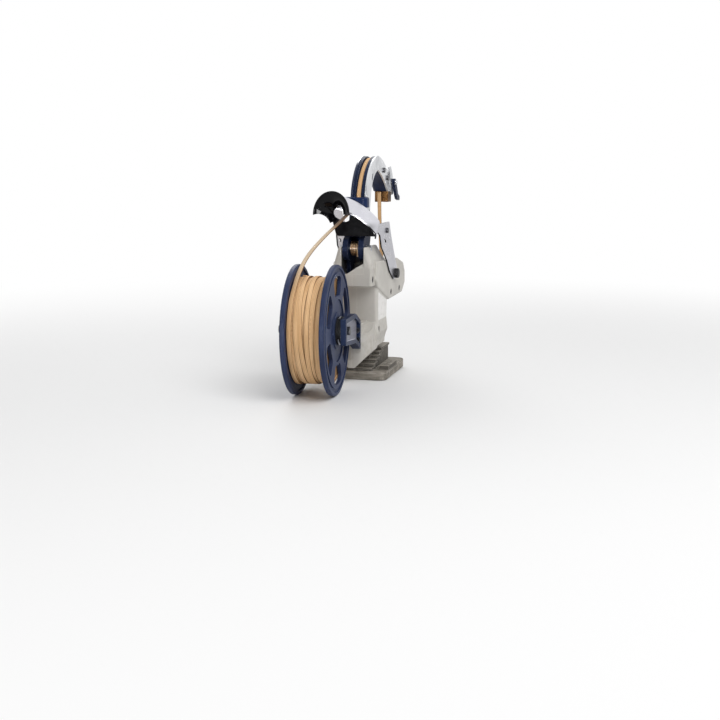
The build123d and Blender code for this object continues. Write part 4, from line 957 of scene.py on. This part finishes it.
# %% Floor
FLOOR_HALF = 4.0
FLOOR_DROP = 0.2 * MM
FADE_FROM = 0.25
FADE_TO = 1.0
floor_mesh = bpy.data.meshes.new("floor")
SQUARE = (-1, -1, 0), (1, -1, 0), (1, 1, 0), (-1, 1, 0)
floor_corners = [Vector(corner) * FLOOR_HALF for corner in SQUARE]
floor_mesh.from_pydata(floor_corners, [], [(0, 1, 2, 3)])
floor = bpy.data.objects.new("floor", floor_mesh)
floor.location.z = -FLOOR_DROP
scene.collection.objects.link(floor)
ground = Finish("pale floor", roughness=0.7, specular_ior_level=0.2)
ground.feed(base_color=rgb(0.80, 0.80, 0.80))
x, y = ground.spot()[:2]
fade = ((x * x + y * y) ** 0.5).ramp(FADE_FROM, FADE_TO)
glow = ground.node("ShaderNodeEmission", {}, {"Color": rgb(1, 1, 1), "Strength": 1.0})
seen = ground.node("ShaderNodeLightPath", output="Is Camera Ray")
lit = Value(ground, ground.shader.outputs[0])
surface = ground.node("ShaderNodeMixShader", {}, {0: fade * seen, 1: lit, 2: glow})
output = ground.tree.nodes["Material Output"]
ground.tree.links.new(surface.socket, output.inputs["Surface"])
floor.data.materials.append(ground.material)
print("floor laid")


# %% World
class Sky(Finish):
    def __init__(self, world):
        world.use_nodes = True
        self.tree = world.node_tree

    def toward(self, side):
        ray = self.node("ShaderNodeTexCoord", output="Generated")
        settings = {"operation": "DOT_PRODUCT"}
        return self.node("ShaderNodeVectorMath", settings, {0: ray, 1: side}, "Value")


FILL = 0.6
DIM_SIDE = (0.25, -0.95, 0.18)
DIM_LEVEL = 0.12
SOFT_BOX = (0.04, -0.995, -0.03)
BOX_LEVEL = 24.0
world = bpy.data.worlds.new("white studio")
scene.world = world
sky = Sky(world)
camera_ray, through_ray, mirror_ray = [
    sky.node("ShaderNodeLightPath", output=key)
    for key in ("Is Camera Ray", "Is Transmission Ray", "Is Glossy Ray")
]
room = sky.toward(DIM_SIDE).ramp(0.4, 0.95, 1.0, DIM_LEVEL)
box = sky.toward(SOFT_BOX).ramp(0.960, 0.980) * BOX_LEVEL
mirrored = room + box
strength = FILL + (1.0 - FILL) * camera_ray.most(through_ray) + mirror_ray * (mirrored - FILL)
background = world.node_tree.nodes["Background"]
background.inputs["Color"].default_value = rgb(1, 1, 1)
sky.plug(background.inputs["Strength"], strength)
print("world has", len(world.node_tree.nodes), "nodes")


# %% Lamps
def lamp(name, place, aim, size, watts):
    data = bpy.data.lights.new(name, "AREA")
    data.size = size
    data.energy = watts
    made = bpy.data.objects.new(name, data)
    made.location = place
    made.rotation_euler = (Vector(aim) - Vector(place)).to_track_quat("-Z", "Y").to_euler()
    scene.collection.objects.link(made)


lamp("key", (0.75, -0.75, 1.05), aim=(0, -0.02, 0.1), size=0.9, watts=11.0)
lamp("back", (-0.6, 0.9, 0.9), aim=(0, 0, 0.12), size=0.7, watts=5.0)
print("lamps:", [light.name for light in bpy.data.lights])

# %% Camera
CAMERA_PLACE = (0.28058, -1.06776, 0.21333)
LOOKS_DOWN = math.radians(10.305)
LOOKS_LEFT = math.radians(15)
camera_data = bpy.data.cameras.new("camera")
camera_data.lens = 55.0
camera_data.sensor_width = 36.0
camera = bpy.data.objects.new("camera", camera_data)
camera.location = CAMERA_PLACE
camera.rotation_euler = (math.radians(90) - LOOKS_DOWN, 0, LOOKS_LEFT)
scene.collection.objects.link(camera)
scene.camera = camera
scene.view_settings.view_transform = "Standard"
print("camera at", tuple(round(v, 3) for v in camera.location))
